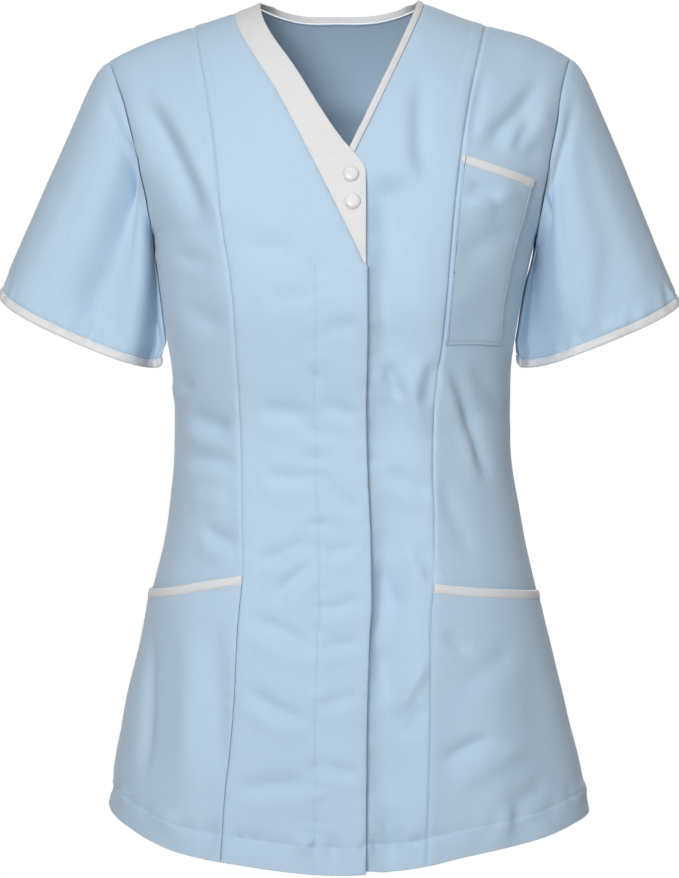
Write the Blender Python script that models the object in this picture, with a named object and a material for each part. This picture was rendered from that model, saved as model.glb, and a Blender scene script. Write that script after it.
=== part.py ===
"""A front-fastening healthcare tunic in its worn, hollow form, as closed cloth walls.

Metres, +Z up. The front faces -Y and the wearer's right is -X. The origin lies between the two
shoulder seams, at the height of the neck points, where the wearer's shoulders carry the garment.

The body is one smooth surface read with two numbers: a runs across, from -1 at the wearer's right
side seam to 1 at the left one, and v runs up, from 0 at the hem over 1 at the underarm to 2 at the
shoulder seam. Every panel, pocket, band and binding is cut from it.
"""

import math
from typing import NamedTuple

import bmesh
import bpy
import numpy as np

# ---------------------------------------------------------------- driving sizes

FRONT, BACK = -1, 1
HALF_NAMES = {FRONT: "front", BACK: "back"}
RIGHT, LEFT = -1, 1

CLOTH = 0.0012  # wall of every cloth piece
SEAM_GAP = 0.0004  # between two pieces sewn edge to edge
LAID_GAP = 0.0009  # between a panel and what lies on it
BREAST_GAP = 0.0011  # the same under the breast pocket, which hangs a little off the bust
UNDERLAP_DROP = 0.0024  # how far the left front lies behind the right front
UNDERLAP = 0.036  # how far the left front runs on behind the front edge
UNDERLAP_RISE = 0.0020  # the hidden layer's hem is this much shorter
EASE_START = 0.003  # from the front edge, where the left front starts back out to the surface
EASE_IN = 0.014  # over this width it comes back out

UNDERARM_Z = -0.200
CHEST_ROUND = 1.7  # how squarely the front rises over the chest to the shoulder seam
BACK_ROUND = 2.15
NECK_HALF_WIDTH = 0.0720  # from the centre to the seam of the neck binding, at the shoulder
BACK_NECK_DEPTH = 0.056  # from the shoulder seams' plane back to the nape
NAPE_SIDE_SQUARE, NAPE_BACK_SQUARE = 2.4, 1.9  # the back neck's roundness, from above
NECK_BINDING_START_Z = -0.139  # where the narrow binding comes out from behind the band

BINDING_WIDTH = 0.0060
BINDING_THICK = 0.0020
POCKET_BINDING = 0.0070
SLEEVE_BINDING = 0.0062
BINDING_SECTION = (  # corners of the narrow binding, in half widths across and half thicknesses up
    (-1, -0.7), (-1, 0.7), (-0.7, 1), (0.7, 1), (1, 0.6), (1, -0.6), (0.7, -1), (-0.7, -1),
)
STUD_RADIUS = 0.0068

LOWER_ROWS = 17
UPPER_ROWS = 12
ARMHOLE_ROW_BIAS = 1.6
POCKET_ROWS = 6
PANEL_COLUMNS = 7
NAPE_COLUMNS = 12  # of the back, across its neck edge
YOKE_COLUMNS = 7  # of the back, along each shoulder seam
SLEEVE_ROWS = 10
BAND_ROWS, BAND_COLUMNS = 18, 4
BAND_ROW_BIAS = 0.86  # keeps the band's rows square to its run
BREAST_ROWS, BREAST_COLUMNS = 8, 6
STUD_SIDES = 20
SHARP_ANGLE = math.radians(40)
MIDDLE_V = 0.4  # a first guess of a row, between the hem and the underarm
ROUNDS = 12  # of each search for a place on the surface
NORMAL_STEP = 0.001
NORMAL_LIMIT = 0.97  # nearer the side seams the direction is taken from here

# ---------------------------------------------------------------- tables


class Girth(NamedTuple):
    """One level round the body, below the underarm: its reach to each side and how square it is."""

    z: float
    right: float
    left: float
    square: float


GIRTHS = (
    Girth(-0.740, 0.2030, 0.2170, 2.25),
    Girth(-0.680, 0.1940, 0.2083, 2.25),
    Girth(-0.600, 0.1814, 0.1917, 2.30),
    Girth(-0.520, 0.1636, 0.1722, 2.30),
    Girth(-0.440, 0.1455, 0.1541, 2.30),
    Girth(-0.370, 0.1389, 0.1443, 2.30),
    Girth(-0.316, 0.1416, 0.1446, 2.40),
    Girth(-0.270, 0.1490, 0.1510, 2.50),
    Girth(UNDERARM_Z, 0.1565, 0.1655, 2.60),
)


class Yoke(NamedTuple):
    """One level above the underarm, by its share of the way up the arch to the shoulder seam."""

    u: float
    right: float
    left: float
    square: float


YOKES = (
    Yoke(0.00, 0.1565, 0.1655, 2.60),
    Yoke(0.25, 0.1752, 0.1827, 3.10),
    Yoke(0.50, 0.1863, 0.1918, 3.40),
    Yoke(0.75, 0.1940, 0.1958, 3.40),
    Yoke(1.00, 0.1962, 0.1962, 3.20),
)


class Depth(NamedTuple):
    """How far the centre front and the centre back stand from the side seams at a height."""

    z: float
    front: float
    back: float


DEPTHS = (
    Depth(-0.740, 0.1370, 0.1310),
    Depth(-0.660, 0.1310, 0.1260),
    Depth(-0.580, 0.1250, 0.1180),
    Depth(-0.500, 0.1160, 0.1030),
    Depth(-0.430, 0.1070, 0.0880),
    Depth(-0.365, 0.1040, 0.0805),
    Depth(-0.310, 0.1150, 0.0885),
    Depth(-0.255, 0.1260, 0.1020),
    Depth(-0.200, 0.1230, 0.1110),
    Depth(-0.120, 0.1140, 0.1120),
    Depth(0.010, 0.1060, 0.1060),
)


class Crest(NamedTuple):
    """The height of the shoulder line at a place across the body."""

    x: float
    z: float


CRESTS = (
    Crest(-0.1962, -0.0520),
    Crest(-0.1868, -0.0466),
    Crest(-0.1588, -0.0339),
    Crest(-0.1232, -0.0220),
    Crest(-0.0775, -0.0062),
    Crest(-0.0640, -0.0005),
    Crest(0.0000, 0.0150),
    Crest(0.0680, -0.0005),
    Crest(0.0767, -0.0040),
    Crest(0.1220, -0.0203),
    Crest(0.1577, -0.0296),
    Crest(0.1760, -0.0375),
    Crest(0.1962, -0.0490),
)


class Hem(NamedTuple):
    """The height of the hem at a place round the body."""

    a: float
    z: float


FRONT_HEM = (
    Hem(-1.00, -0.6735),
    Hem(-0.68, -0.6905),
    Hem(-0.55, -0.7005),
    Hem(-0.45, -0.7080),
    Hem(-0.30, -0.7150),
    Hem(0.00, -0.7238),
    Hem(0.15, -0.7202),
    Hem(0.32, -0.7098),
    Hem(0.53, -0.6992),
    Hem(0.74, -0.6885),
    Hem(1.00, -0.6827),
)
BACK_HEM = (
    Hem(-1.00, -0.6735),
    Hem(-0.55, -0.7020),
    Hem(0.00, -0.7260),
    Hem(0.55, -0.7060),
    Hem(1.00, -0.6827),
)


class Line(NamedTuple):
    """A point of a seam or an edge as seen from the front."""

    z: float
    x: float


PRINCESS_RIGHT = (
    Line(-0.745, -0.0985),
    Line(-0.670, -0.0942),
    Line(-0.593, -0.0867),
    Line(-0.524, -0.0831),
    Line(-0.481, -0.0797),
    Line(-0.437, -0.0808),
    Line(-0.364, -0.0826),
    Line(-0.318, -0.0847),
    Line(-0.258, -0.0884),
    Line(-0.190, -0.0977),
    Line(-0.135, -0.1034),
    Line(-0.094, -0.1094),
    Line(-0.027, -0.1228),
    Line(0.010, -0.1310),
)
PRINCESS_LEFT = (
    Line(-0.745, 0.0700),
    Line(-0.663, 0.0727),
    Line(-0.593, 0.0748),
    Line(-0.523, 0.0750),
    Line(-0.490, 0.0777),
    Line(-0.437, 0.0788),
    Line(-0.398, 0.0774),
    Line(-0.355, 0.0782),
    Line(-0.328, 0.0803),
    Line(-0.290, 0.0852),
    Line(-0.250, 0.0892),
    Line(-0.204, 0.0927),
    Line(-0.138, 0.1002),
    Line(-0.079, 0.1104),
    Line(-0.027, 0.1224),
    Line(0.010, 0.1310),
)
FRONT_EDGE = (
    Line(-0.745, 0.0208),
    Line(-0.611, 0.0218),
    Line(-0.532, 0.0241),
    Line(-0.506, 0.0257),
    Line(-0.454, 0.0251),
    Line(-0.400, 0.0226),
    Line(-0.345, 0.0213),
    Line(-0.296, 0.0223),
    Line(-0.229, 0.0224),
    Line(-0.151, 0.0215),
)
NECK_LINE_RIGHT = (  # the opening side of the white band
    Line(-0.2290, 0.0214),
    Line(-0.1520, 0.0214),
    Line(-0.1332, 0.0094),
    Line(-0.1287, 0.0049),
    Line(-0.0703, -0.0295),
    Line(-0.0080, -0.0672),
    Line(0.0100, -0.0690),
)
BAND_EDGE = (  # the side of the white band that is sewn to the centre front
    Line(-0.2290, 0.0206),
    Line(-0.1715, -0.0070),
    Line(-0.0900, -0.0480),
    Line(-0.0160, -0.0875),
    Line(0.0100, -0.0920),
)
NECK_LINE_LEFT = (  # the seam between the left front and its binding
    Line(-0.1920, -0.0135),
    Line(-0.1400, 0.0105),
    Line(-0.0700, 0.0440),
    Line(-0.0250, 0.0640),
    Line(-0.0080, 0.0705),
    Line(-0.0020, 0.0720),
    Line(0.0100, 0.0725),
)


class ArmholePoint(NamedTuple):
    """The edge of the armhole by its share of the way up, on the front and on the back."""

    u: float
    front: float
    back: float


ARMHOLE = (
    ArmholePoint(0.00, 1.000, 1.000),
    ArmholePoint(0.02, 0.900, 0.910),
    ArmholePoint(0.06, 0.805, 0.830),
    ArmholePoint(0.15, 0.725, 0.760),
    ArmholePoint(0.30, 0.690, 0.730),
    ArmholePoint(0.50, 0.680, 0.725),
    ArmholePoint(0.70, 0.705, 0.745),
    ArmholePoint(0.85, 0.775, 0.800),
    ArmholePoint(0.95, 0.880, 0.890),
    ArmholePoint(1.00, 1.000, 1.000),
)


class Fold(NamedTuple):
    """A soft ridge (height above 0) or trough along a line, as seen from the front or the back."""

    x_from: float
    z_from: float
    x_to: float
    z_to: float
    width: float
    height: float


FOLD_START, FOLD_END = 0.35, 0.25  # shares of a fold's length over which it rises and dies away
CALM_ACROSS, CALM_UP = 0.06, 0.12  # folds die away this close to the side and shoulder seams, in a and v

FRONT_FOLDS = (
    Fold(-0.1480, -0.500, -0.1620, -0.665, 0.016, -0.0035),
    Fold(-0.1200, -0.560, -0.1290, -0.720, 0.018, 0.0030),
    Fold(0.1180, -0.540, 0.1330, -0.710, 0.020, 0.0030),
    Fold(0.1560, -0.520, 0.1800, -0.690, 0.016, -0.0030),
    Fold(-0.1380, -0.225, -0.0950, -0.290, 0.018, -0.0030),
    Fold(0.1400, -0.235, 0.1000, -0.300, 0.018, -0.0030),
    Fold(-0.1300, -0.340, -0.0920, -0.372, 0.013, -0.0022),
    Fold(0.1300, -0.335, 0.0900, -0.375, 0.013, -0.0022),
    Fold(0.0400, -0.400, 0.0420, -0.700, 0.014, -0.0026),
    Fold(-0.0500, -0.480, -0.0480, -0.700, 0.022, 0.0020),
    Fold(-0.1560, -0.085, -0.1480, -0.150, 0.016, -0.0030),
    Fold(0.1620, -0.085, 0.1560, -0.150, 0.016, -0.0030),
)
BACK_FOLDS = (
    Fold(-0.0760, -0.270, -0.0800, -0.500, 0.012, -0.0024),
    Fold(0.0800, -0.270, 0.0840, -0.500, 0.012, -0.0024),
    Fold(-0.1250, -0.550, -0.1480, -0.715, 0.020, 0.0030),
    Fold(0.1300, -0.540, 0.1560, -0.715, 0.020, 0.0030),
    Fold(-0.0300, -0.560, -0.0360, -0.725, 0.020, -0.0028),
    Fold(0.0420, -0.570, 0.0500, -0.725, 0.020, -0.0028),
    Fold(-0.1400, -0.230, -0.0700, -0.330, 0.020, -0.0026),
    Fold(0.1450, -0.240, 0.0750, -0.320, 0.020, -0.0026),
    Fold(-0.1200, -0.385, -0.0300, -0.372, 0.012, -0.0022),
    Fold(0.1150, -0.392, 0.0250, -0.380, 0.012, -0.0022),
    Fold(-0.1560, -0.080, -0.1440, -0.160, 0.016, -0.0028),
    Fold(0.1620, -0.080, 0.1500, -0.160, 0.016, -0.0028),
)


class Cuff(NamedTuple):
    """A sleeve's lower edge: its outer and inner ends from the front, its half depth and lean."""

    side: int
    outer_x: float
    outer_z: float
    inner_x: float
    inner_z: float
    half_depth: float
    front_dip: float


CUFFS = (
    Cuff(RIGHT, -0.2840, -0.2435, -0.1550, -0.3000, 0.047, 0.0120),
    Cuff(LEFT, 0.2835, -0.2490, 0.1545, -0.3005, 0.047, 0.0105),
)
CUFF_SQUARE = 2.4
SLEEVE_SEAM_GAP = 0.0007  # square to the armhole's edge, from which the sleeve turns away
HEAD_PUFF = 0.0065  # the sleeve's head stands this far outside the straight line
HEAD_RISE = 0.05  # share of the sleeve's length over which the head rounds up
HEAD_FADE = 0.65  # share of the puff that is gone at the cuff
SLEEVE_SWELL = 0.0040
SLEEVE_FOLD_RISE = 0.9  # share of the sleeve's length over which its folds deepen
BINDING_STEPS = 2


class SleeveFold(NamedTuple):
    """A soft fold down a sleeve, by its turn from the top (a share of a full turn) and its height."""

    turn: float
    drift: float
    width: float
    height: float


SLEEVE_FOLDS = (
    SleeveFold(0.17, 0.03, 0.035, -0.0042),
    SleeveFold(0.31, 0.00, 0.035, 0.0034),
    SleeveFold(0.40, -0.02, 0.030, -0.0030),
    SleeveFold(0.66, 0.02, 0.035, -0.0036),
    SleeveFold(0.82, -0.03, 0.040, 0.0030),
)


class Stud(NamedTuple):
    """A press-stud cap by its place on the white band."""

    name: str
    x: float
    z: float


STUDS = (
    Stud("stud_cap_upper", 0.0094, -0.1547),
    Stud("stud_cap_lower", 0.0107, -0.1775),
)


class DomeRing(NamedTuple):
    """A ring of a stud cap: its share of the radius, and its height over the band."""

    share: float
    height: float


STUD_DOME = (
    DomeRing(0.86, 0.0000),
    DomeRing(0.99, 0.0005),
    DomeRing(1.00, 0.0011),
    DomeRing(0.93, 0.0018),
    DomeRing(0.70, 0.0024),
    DomeRing(0.35, 0.0027),
)

BREAST_BOTTOM_Z = -0.2935
BREAST_RIGHT_EDGE = (  # the pocket's side away from the princess seam
    Line(-0.300, 0.1345),
    Line(-0.235, 0.1420),
    Line(-0.165, 0.1585),
    Line(-0.150, 0.1600),
)


class Mouth(NamedTuple):
    """The top edge of a pocket: its height at a place across the front."""

    x: float
    z: float


BREAST_MOUTH = (Mouth(0.0990, -0.1385), Mouth(0.1580, -0.1560))
HIP_MOUTH_RIGHT = (
    Mouth(-0.1620, -0.4975),
    Mouth(-0.1450, -0.4955),
    Mouth(-0.1100, -0.4885),
    Mouth(-0.0800, -0.4835),
)
HIP_MOUTH_LEFT = (
    Mouth(0.0770, -0.4905),
    Mouth(0.1100, -0.4935),
    Mouth(0.1450, -0.4960),
    Mouth(0.1700, -0.4985),
)

# ---------------------------------------------------------------- finishes


class Finish(NamedTuple):
    """A plain surface: its name, linear colour and roughness."""

    name: str
    colour: tuple
    roughness: float


BLUE = Finish("pale_blue_polycotton", (0.47, 0.60, 0.71, 1.0), 0.85)
WHITE = Finish("white_polycotton", (0.83, 0.84, 0.85, 1.0), 0.80)
CAP = Finish("white_stud_cap", (0.85, 0.85, 0.84, 1.0), 0.35)

# ---------------------------------------------------------------- curves


def through(rows, key, column, at):
    """A smooth curve through one column of a table, read at the given keys, with no overshoot."""
    x = np.array([getattr(row, key) for row in rows])
    y = np.array([getattr(row, column) for row in rows])
    slope = np.diff(y) / np.diff(x)
    before, after = slope[:-1], slope[1:]
    together = np.where(before * after > 0, before + after, 1.0)
    inner = np.where(before * after > 0, 2 * before * after / together, 0.0)
    tangent = np.concatenate([slope[:1], inner, slope[-1:]])
    at = np.clip(at, x[0], x[-1])
    k = np.clip(np.searchsorted(x, at) - 1, 0, len(x) - 2)
    width = x[k + 1] - x[k]
    t = (at - x[k]) / width
    rise = y[k + 1] - y[k]
    lift = t * t * (3 - 2 * t) * rise
    start = t * (1 - t) ** 2 * width * tangent[k]
    end = t * t * (t - 1) * width * tangent[k + 1]
    return y[k] + lift + start + end


def smooth_step(value):
    """0 below 0, 1 above 1, and a smooth rise between."""
    t = np.clip(value, 0, 1)
    return t * t * (3 - 2 * t)


def round_corner(turn, square):
    """A superellipse's sideways and forward shares at an angle of turn quarter turns."""
    side, fore = np.sin(turn * math.pi / 2), np.cos(turn * math.pi / 2)
    size = (np.abs(side) ** square + np.abs(fore) ** square) ** (1 / square)
    return side / size, fore / size


def turn_at(share, square):
    """The quarter turns at which a superellipse reaches this sideways share."""
    share = np.clip(share, -1, 1)
    fore = (1 - np.abs(share) ** square) ** (1 / square)
    return np.arctan2(share, fore) / (math.pi / 2)


# ---------------------------------------------------------------- the body's surface


def arch_round(half):
    """How squarely a half rises over to the shoulder seam."""
    return CHEST_ROUND if half == FRONT else BACK_ROUND


def hem_height(half, a):
    """The hem's height at a."""
    return through(FRONT_HEM if half == FRONT else BACK_HEM, "a", "z", a)


def reach_and_square(a_sign, u, z):
    """The sideways reach and squareness at a level, on the side that a_sign gives."""
    low_right, low_left = (through(GIRTHS, "z", c, z) for c in ("right", "left"))
    top_right, top_left = (through(YOKES, "u", c, u) for c in ("right", "left"))
    low = np.where(a_sign < 0, low_right, low_left)
    top = np.where(a_sign < 0, top_right, top_left)
    square = np.where(u > 0, through(YOKES, "u", "square", u), through(GIRTHS, "z", "square", z))
    return np.where(u > 0, top, low), square


def smooth_point(half, a, v):
    """The body's surface without folds at (a, v)."""
    a, v = np.broadcast_arrays(np.asarray(a, float), np.asarray(v, float))
    u = np.clip(v - 1, 0, None)
    hem = hem_height(half, a)
    z_low = hem + (UNDERARM_Z - hem) * np.minimum(v, 1)
    reach, square = reach_and_square(a, u, z_low)
    across, fore = round_corner(a, square)
    x = reach * across
    up, out = round_corner(u, arch_round(half))
    z = z_low + (through(CRESTS, "x", "z", x) - UNDERARM_Z) * up * (u > 0)
    depth = through(DEPTHS, "z", HALF_NAMES[half], z)
    y = half * (SEAM_GAP / 2 + depth * fore * out)
    return np.stack([x, y, z], axis=-1)


def locate(half, x, z):
    """The (a, v) of the surface at a place seen from the front or the back."""
    x, z = np.broadcast_arrays(np.asarray(x, float), np.asarray(z, float))
    crest = through(CRESTS, "x", "z", x)
    u = np.where(z > UNDERARM_Z, turn_at((z - UNDERARM_Z) / (crest - UNDERARM_Z), arch_round(half)), 0)
    reach, square = reach_and_square(x, u, z)
    a = turn_at(x / reach, square)
    hem = hem_height(half, a)
    return a, np.where(z > UNDERARM_Z, 1 + u, (z - hem) / (UNDERARM_Z - hem))


def normal(half, a, v):
    """The outward direction of the smooth surface."""
    a, v = np.broadcast_arrays(np.asarray(a, float), np.asarray(v, float))
    step = NORMAL_STEP
    a, v = np.clip(a, -NORMAL_LIMIT, NORMAL_LIMIT), np.clip(v, step, 2 - 3 * step)
    across = smooth_point(half, a + step, v) - smooth_point(half, a - step, v)
    up = smooth_point(half, a, v + step) - smooth_point(half, a, v - step)
    out = -half * np.cross(across, up)
    return out / np.linalg.norm(out, axis=-1, keepdims=True)


def fold_height(half, x, z):
    """The largest folds, as a height over the smooth surface."""
    total = np.zeros(np.broadcast(x, z).shape)
    for fold in FRONT_FOLDS if half == FRONT else BACK_FOLDS:
        run_x, run_z = fold.x_to - fold.x_from, fold.z_to - fold.z_from
        length = math.hypot(run_x, run_z)
        along = ((x - fold.x_from) * run_x + (z - fold.z_from) * run_z) / length
        off = ((x - fold.x_from) * run_z - (z - fold.z_from) * run_x) / length
        rise = smooth_step(along / (FOLD_START * length))
        fall = smooth_step((length - along) / (FOLD_END * length))
        total += fold.height * rise * fall * np.exp(-((off / fold.width) ** 2))
    return total


def cloth_point(half, a, v, lift=0.0):
    """A point of the worn cloth's outer face, lifted outwards by so much."""
    base = smooth_point(half, a, v)
    height = fold_height(half, base[..., 0], base[..., 2])
    calm = smooth_step((1 - np.abs(a)) / CALM_ACROSS) * smooth_step((2 - np.asarray(v)) / CALM_UP)
    return base + normal(half, a, v) * (height * calm + lift)[..., None]


def seam_a(half, seam, v, shift=0.0):
    """Where a seam, moved sideways by shift, crosses each row."""
    v = np.asarray(v, float)
    a = np.zeros_like(v)
    for _ in range(ROUNDS):
        z = smooth_point(half, a, v)[..., 2]
        x = through(seam, "z", "x", z) + shift
        reach, square = reach_and_square(x, np.clip(v - 1, 0, None), z)
        a = turn_at(x / reach, square)
    return a


def armhole_a(half, v):
    """How far from the centre the armhole or the side seam lies on each row."""
    return np.where(v > 1, through(ARMHOLE, "u", HALF_NAMES[half], np.clip(v - 1, 0, 1)), 1.0)


def upper_rows():
    """The rows from the underarm to the shoulder seam, closest where the armhole turns."""
    return 1 + np.linspace(0, 1, UPPER_ROWS) ** ARMHOLE_ROW_BIAS


def panel_rows():
    """The rows of a plain panel, from the hem to the shoulder seam."""
    return np.concatenate([np.linspace(0, 1, LOWER_ROWS)[:-1], upper_rows()])


def spread(start, end, columns):
    """Columns between two edges, for every row."""
    share = np.linspace(0, 1, columns + 1)
    return start[:, None] * (1 - share) + end[:, None] * share


def underlap_lift(x, z):
    """How far the left front drops behind the right one, back to nothing beside the front edge."""
    past = x - through(FRONT_EDGE, "z", "x", z)
    return -UNDERLAP_DROP * (1 - smooth_step((past - EASE_START) / EASE_IN))


# ---------------------------------------------------------------- making meshes


def material_for(finish):
    """The material of a finish, made once."""
    found = bpy.data.materials.get(finish.name)
    if found:
        return found
    made = bpy.data.materials.new(finish.name)
    made.use_nodes = True
    shader = made.node_tree.nodes["Principled BSDF"]
    shader.inputs["Base Color"].default_value = finish.colour
    shader.inputs["Roughness"].default_value = finish.roughness
    shader.inputs["Metallic"].default_value = 0.0
    made.diffuse_color = finish.colour
    return made


def add_object(name, points, faces, finish):
    """A named object from points and faces, with every face pointing out."""
    mesh = bpy.data.meshes.new(name)
    mesh.from_pydata([tuple(map(float, p)) for p in points], [], faces)
    shaping = bmesh.new()
    shaping.from_mesh(mesh)
    bmesh.ops.recalc_face_normals(shaping, faces=shaping.faces)
    shaping.to_mesh(mesh)
    shaping.free()
    mesh.shade_smooth()
    mesh.set_sharp_from_angle(angle=SHARP_ANGLE)
    mesh.materials.append(material_for(finish))
    made = bpy.data.objects.new(name, mesh)
    bpy.context.scene.collection.objects.link(made)
    return made


def wall(name, outer, inner, finish, tube=False):
    """A closed wall between two grids of points; a tube joins its last column to its first."""
    rows, columns = outer.shape[:2]
    turns = columns if tube else columns - 1

    def at(row, column, face):
        return face * rows * columns + row * columns + column % columns

    faces = []
    for row in range(rows - 1):
        for column in range(turns):
            for face in (0, 1):
                low, low_next = at(row, column, face), at(row, column + 1, face)
                high, high_next = at(row + 1, column, face), at(row + 1, column + 1, face)
                for corners in ([low, low_next, high_next], [low, high_next, high]):
                    faces.append(corners[::-1] if face else corners)
    for row, turned in ((0, False), (rows - 1, True)):
        for column in range(turns):
            rim = [at(row, column, 0), at(row, column, 1), at(row, column + 1, 1), at(row, column + 1, 0)]
            faces.append(rim[::-1] if turned else rim)
    if not tube:
        for column, turned in ((0, True), (columns - 1, False)):
            for row in range(rows - 1):
                rim = [at(row, column, 0), at(row, column, 1), at(row + 1, column, 1), at(row + 1, column, 0)]
                faces.append(rim[::-1] if turned else rim)
    points = np.concatenate([outer.reshape(-1, 3), inner.reshape(-1, 3)])
    return add_object(name, points, faces, finish)


def bar(name, rings, finish):
    """A closed bar through rings of points, filled at both ends."""
    count, sides = rings.shape[:2]
    faces = []
    for row in range(count - 1):
        for side in range(sides):
            after = (side + 1) % sides
            low, high = row * sides, (row + 1) * sides
            faces.append([low + side, low + after, high + after, high + side])
    faces.append(list(range(sides))[::-1])
    faces.append([(count - 1) * sides + side for side in range(sides)])
    return add_object(name, rings.reshape(-1, 3), faces, finish)


def cloth_wall(name, half, a, v, finish, lift=0.0, thick=CLOTH):
    """A piece of the body's surface as a wall of cloth, its outer face lifted by so much."""
    lift = np.broadcast_to(lift, a.shape)
    faces = [cloth_point(half, a, v, lift), cloth_point(half, a, v, lift - thick)]
    for points in faces:  # no piece crosses the plane of the side and shoulder seams
        points[..., 1] = half * np.maximum(half * points[..., 1], SEAM_GAP / 2)
    return wall(name, *faces, finish)


# ---------------------------------------------------------------- fronts and back


def make_right_front_centre():
    """The centre front on top: princess seam to white band, and to the fly edge below its tip."""
    tip_z = BAND_EDGE[0].z + SEAM_GAP * np.array([-2, 0.5])  # just below and above the band's tip
    tip_v = locate(FRONT, FRONT_EDGE[-2].x, tip_z)[1]
    v = np.sort(np.append(side_grid(RIGHT, PRINCESS_RIGHT, HIP_MOUTH_RIGHT)[1][:, 0], tip_v))
    outer_edge = seam_a(FRONT, PRINCESS_RIGHT, v, SEAM_GAP / 2)
    band = seam_a(FRONT, BAND_EDGE, v, -2 * SEAM_GAP)
    edge = seam_a(FRONT, FRONT_EDGE, v)
    inner_edge = np.where(v > tip_v[0], np.minimum(band, edge), edge)
    a = spread(outer_edge, inner_edge, PANEL_COLUMNS)
    return cloth_wall("right_front_centre", FRONT, a, v[:, None] + 0 * a, BLUE)


def make_left_front_centre():
    """The centre front below: from behind the right front to the princess seam."""
    v = side_grid(LEFT, PRINCESS_LEFT, HIP_MOUTH_LEFT)[1][:, 0]
    neck = seam_a(FRONT, NECK_LINE_LEFT, v, SEAM_GAP / 2)
    hidden = seam_a(FRONT, FRONT_EDGE, v, -UNDERLAP)
    z = smooth_point(FRONT, neck, v)[..., 2]
    below = z < NECK_LINE_LEFT[0].z
    inner_edge = np.where(below, hidden, np.maximum(neck, hidden))
    a = spread(inner_edge, seam_a(FRONT, PRINCESS_LEFT, v, -SEAM_GAP / 2), PANEL_COLUMNS + 2)
    v = v[:, None] + 0 * a
    place = smooth_point(FRONT, a, v)
    drop = underlap_lift(place[..., 0], place[..., 2])
    hidden_share = -drop / UNDERLAP_DROP
    height = -hem_height(FRONT, a) + UNDERARM_Z
    v = v + np.where(v < 1, (1 - v) * UNDERLAP_RISE / height * hidden_share, 0)
    return cloth_wall("left_front_centre", FRONT, a, v, BLUE, lift=drop)


def mouth_v(mouth, a, drop):
    """The row of a pocket's top edge, or of a line so much below it, at each column."""
    v = np.full_like(a, MIDDLE_V)
    for _ in range(ROUNDS):
        x = smooth_point(FRONT, a, v)[..., 0]
        v = locate(FRONT, x, through(mouth, "x", "z", x) - drop)[1]
    return v


def side_grid(side, seam, mouth):
    """A side front's grid, with a row along each edge of its pocket's white top."""
    share = np.linspace(0, 1, PANEL_COLUMNS + 1)
    across = seam_a(FRONT, seam, np.full(1, MIDDLE_V)) * (1 - share) + side * share
    low, top = mouth_v(mouth, across, POCKET_BINDING), mouth_v(mouth, across, 0.0)
    rows = [low * up for up in np.linspace(0, 1, POCKET_ROWS + 1)]
    rows += [top + (1 - top) * up for up in np.linspace(0, 1, LOWER_ROWS - POCKET_ROWS - 1)]
    rows += [np.full_like(low, v) for v in upper_rows()[1:]]
    v = np.stack(rows)
    return seam_a(FRONT, seam, v, side * SEAM_GAP / 2) * (1 - share) + side * armhole_a(FRONT, v) * share, v


def make_side_front(name, side, seam, mouth):
    """A side front: princess seam to side seam and armhole, with its hip pocket and white top."""
    a, v = side_grid(side, seam, mouth)
    cloth_wall(f"{name}_front_side", FRONT, a, v, BLUE)
    pocket = slice(0, POCKET_ROWS + 1)
    below = v[pocket].copy()
    below[-1] -= SEAM_GAP / (UNDERARM_Z - FRONT_HEM[0].z)
    cloth_wall(f"hip_pocket_{name}", FRONT, a[pocket], below, BLUE, lift=LAID_GAP + CLOTH)
    top = slice(POCKET_ROWS, POCKET_ROWS + 2)
    proud = (BINDING_THICK - CLOTH) / 2
    cloth_wall(f"hip_pocket_binding_{name}", FRONT, a[top], v[top], WHITE,
               lift=LAID_GAP + CLOTH + proud, thick=CLOTH + proud)


def nape_turns():
    """The back neck's columns, from the wearer's right to the left, closest at the corners."""
    x = -NECK_HALF_WIDTH * np.cos(math.pi * np.arange(NAPE_COLUMNS + 1) / NAPE_COLUMNS)
    reach = np.where(x < 0, YOKES[-1].right, YOKES[-1].left)
    return turn_at(x / reach, YOKES[-1].square)


def nape_v(a):
    """The row at which the back's top edge lies: the shoulder seam, or the back neck between."""
    x = smooth_point(BACK, a, np.full_like(a, 2.0))[..., 0]
    share = np.clip(np.abs(x) / NECK_HALF_WIDTH, 0, 1)
    back = BACK_NECK_DEPTH * (1 - share**NAPE_SIDE_SQUARE) ** (1 / NAPE_BACK_SQUARE) / DEPTHS[-1].back
    up = (1 - back**BACK_ROUND) ** (1 / BACK_ROUND)
    return 1 + np.arctan2(up, back) / (math.pi / 2)


def make_back():
    """The whole back, side seam to side seam, with the back neck cut out of its top."""
    rows = panel_rows()
    low, u = np.minimum(rows, 1), np.maximum(rows - 1, 0)
    limit = armhole_a(BACK, low + u)
    nape = nape_turns()
    share = np.concatenate([
        np.linspace(-1, nape[0], YOKE_COLUMNS + 1)[:-1],
        nape,
        np.linspace(nape[-1], 1, YOKE_COLUMNS + 1)[1:],
    ])
    past = np.clip((np.abs(share) - nape[-1]) / (1 - nape[-1]), 0, 1)
    a = share + np.sign(share) * past * (limit[:, None] - 1)
    top = nape_v(share)
    v = low[:, None] + u[:, None] * (top - 1)
    return cloth_wall("back", BACK, a, v, BLUE)


# ---------------------------------------------------------------- white trims


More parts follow.
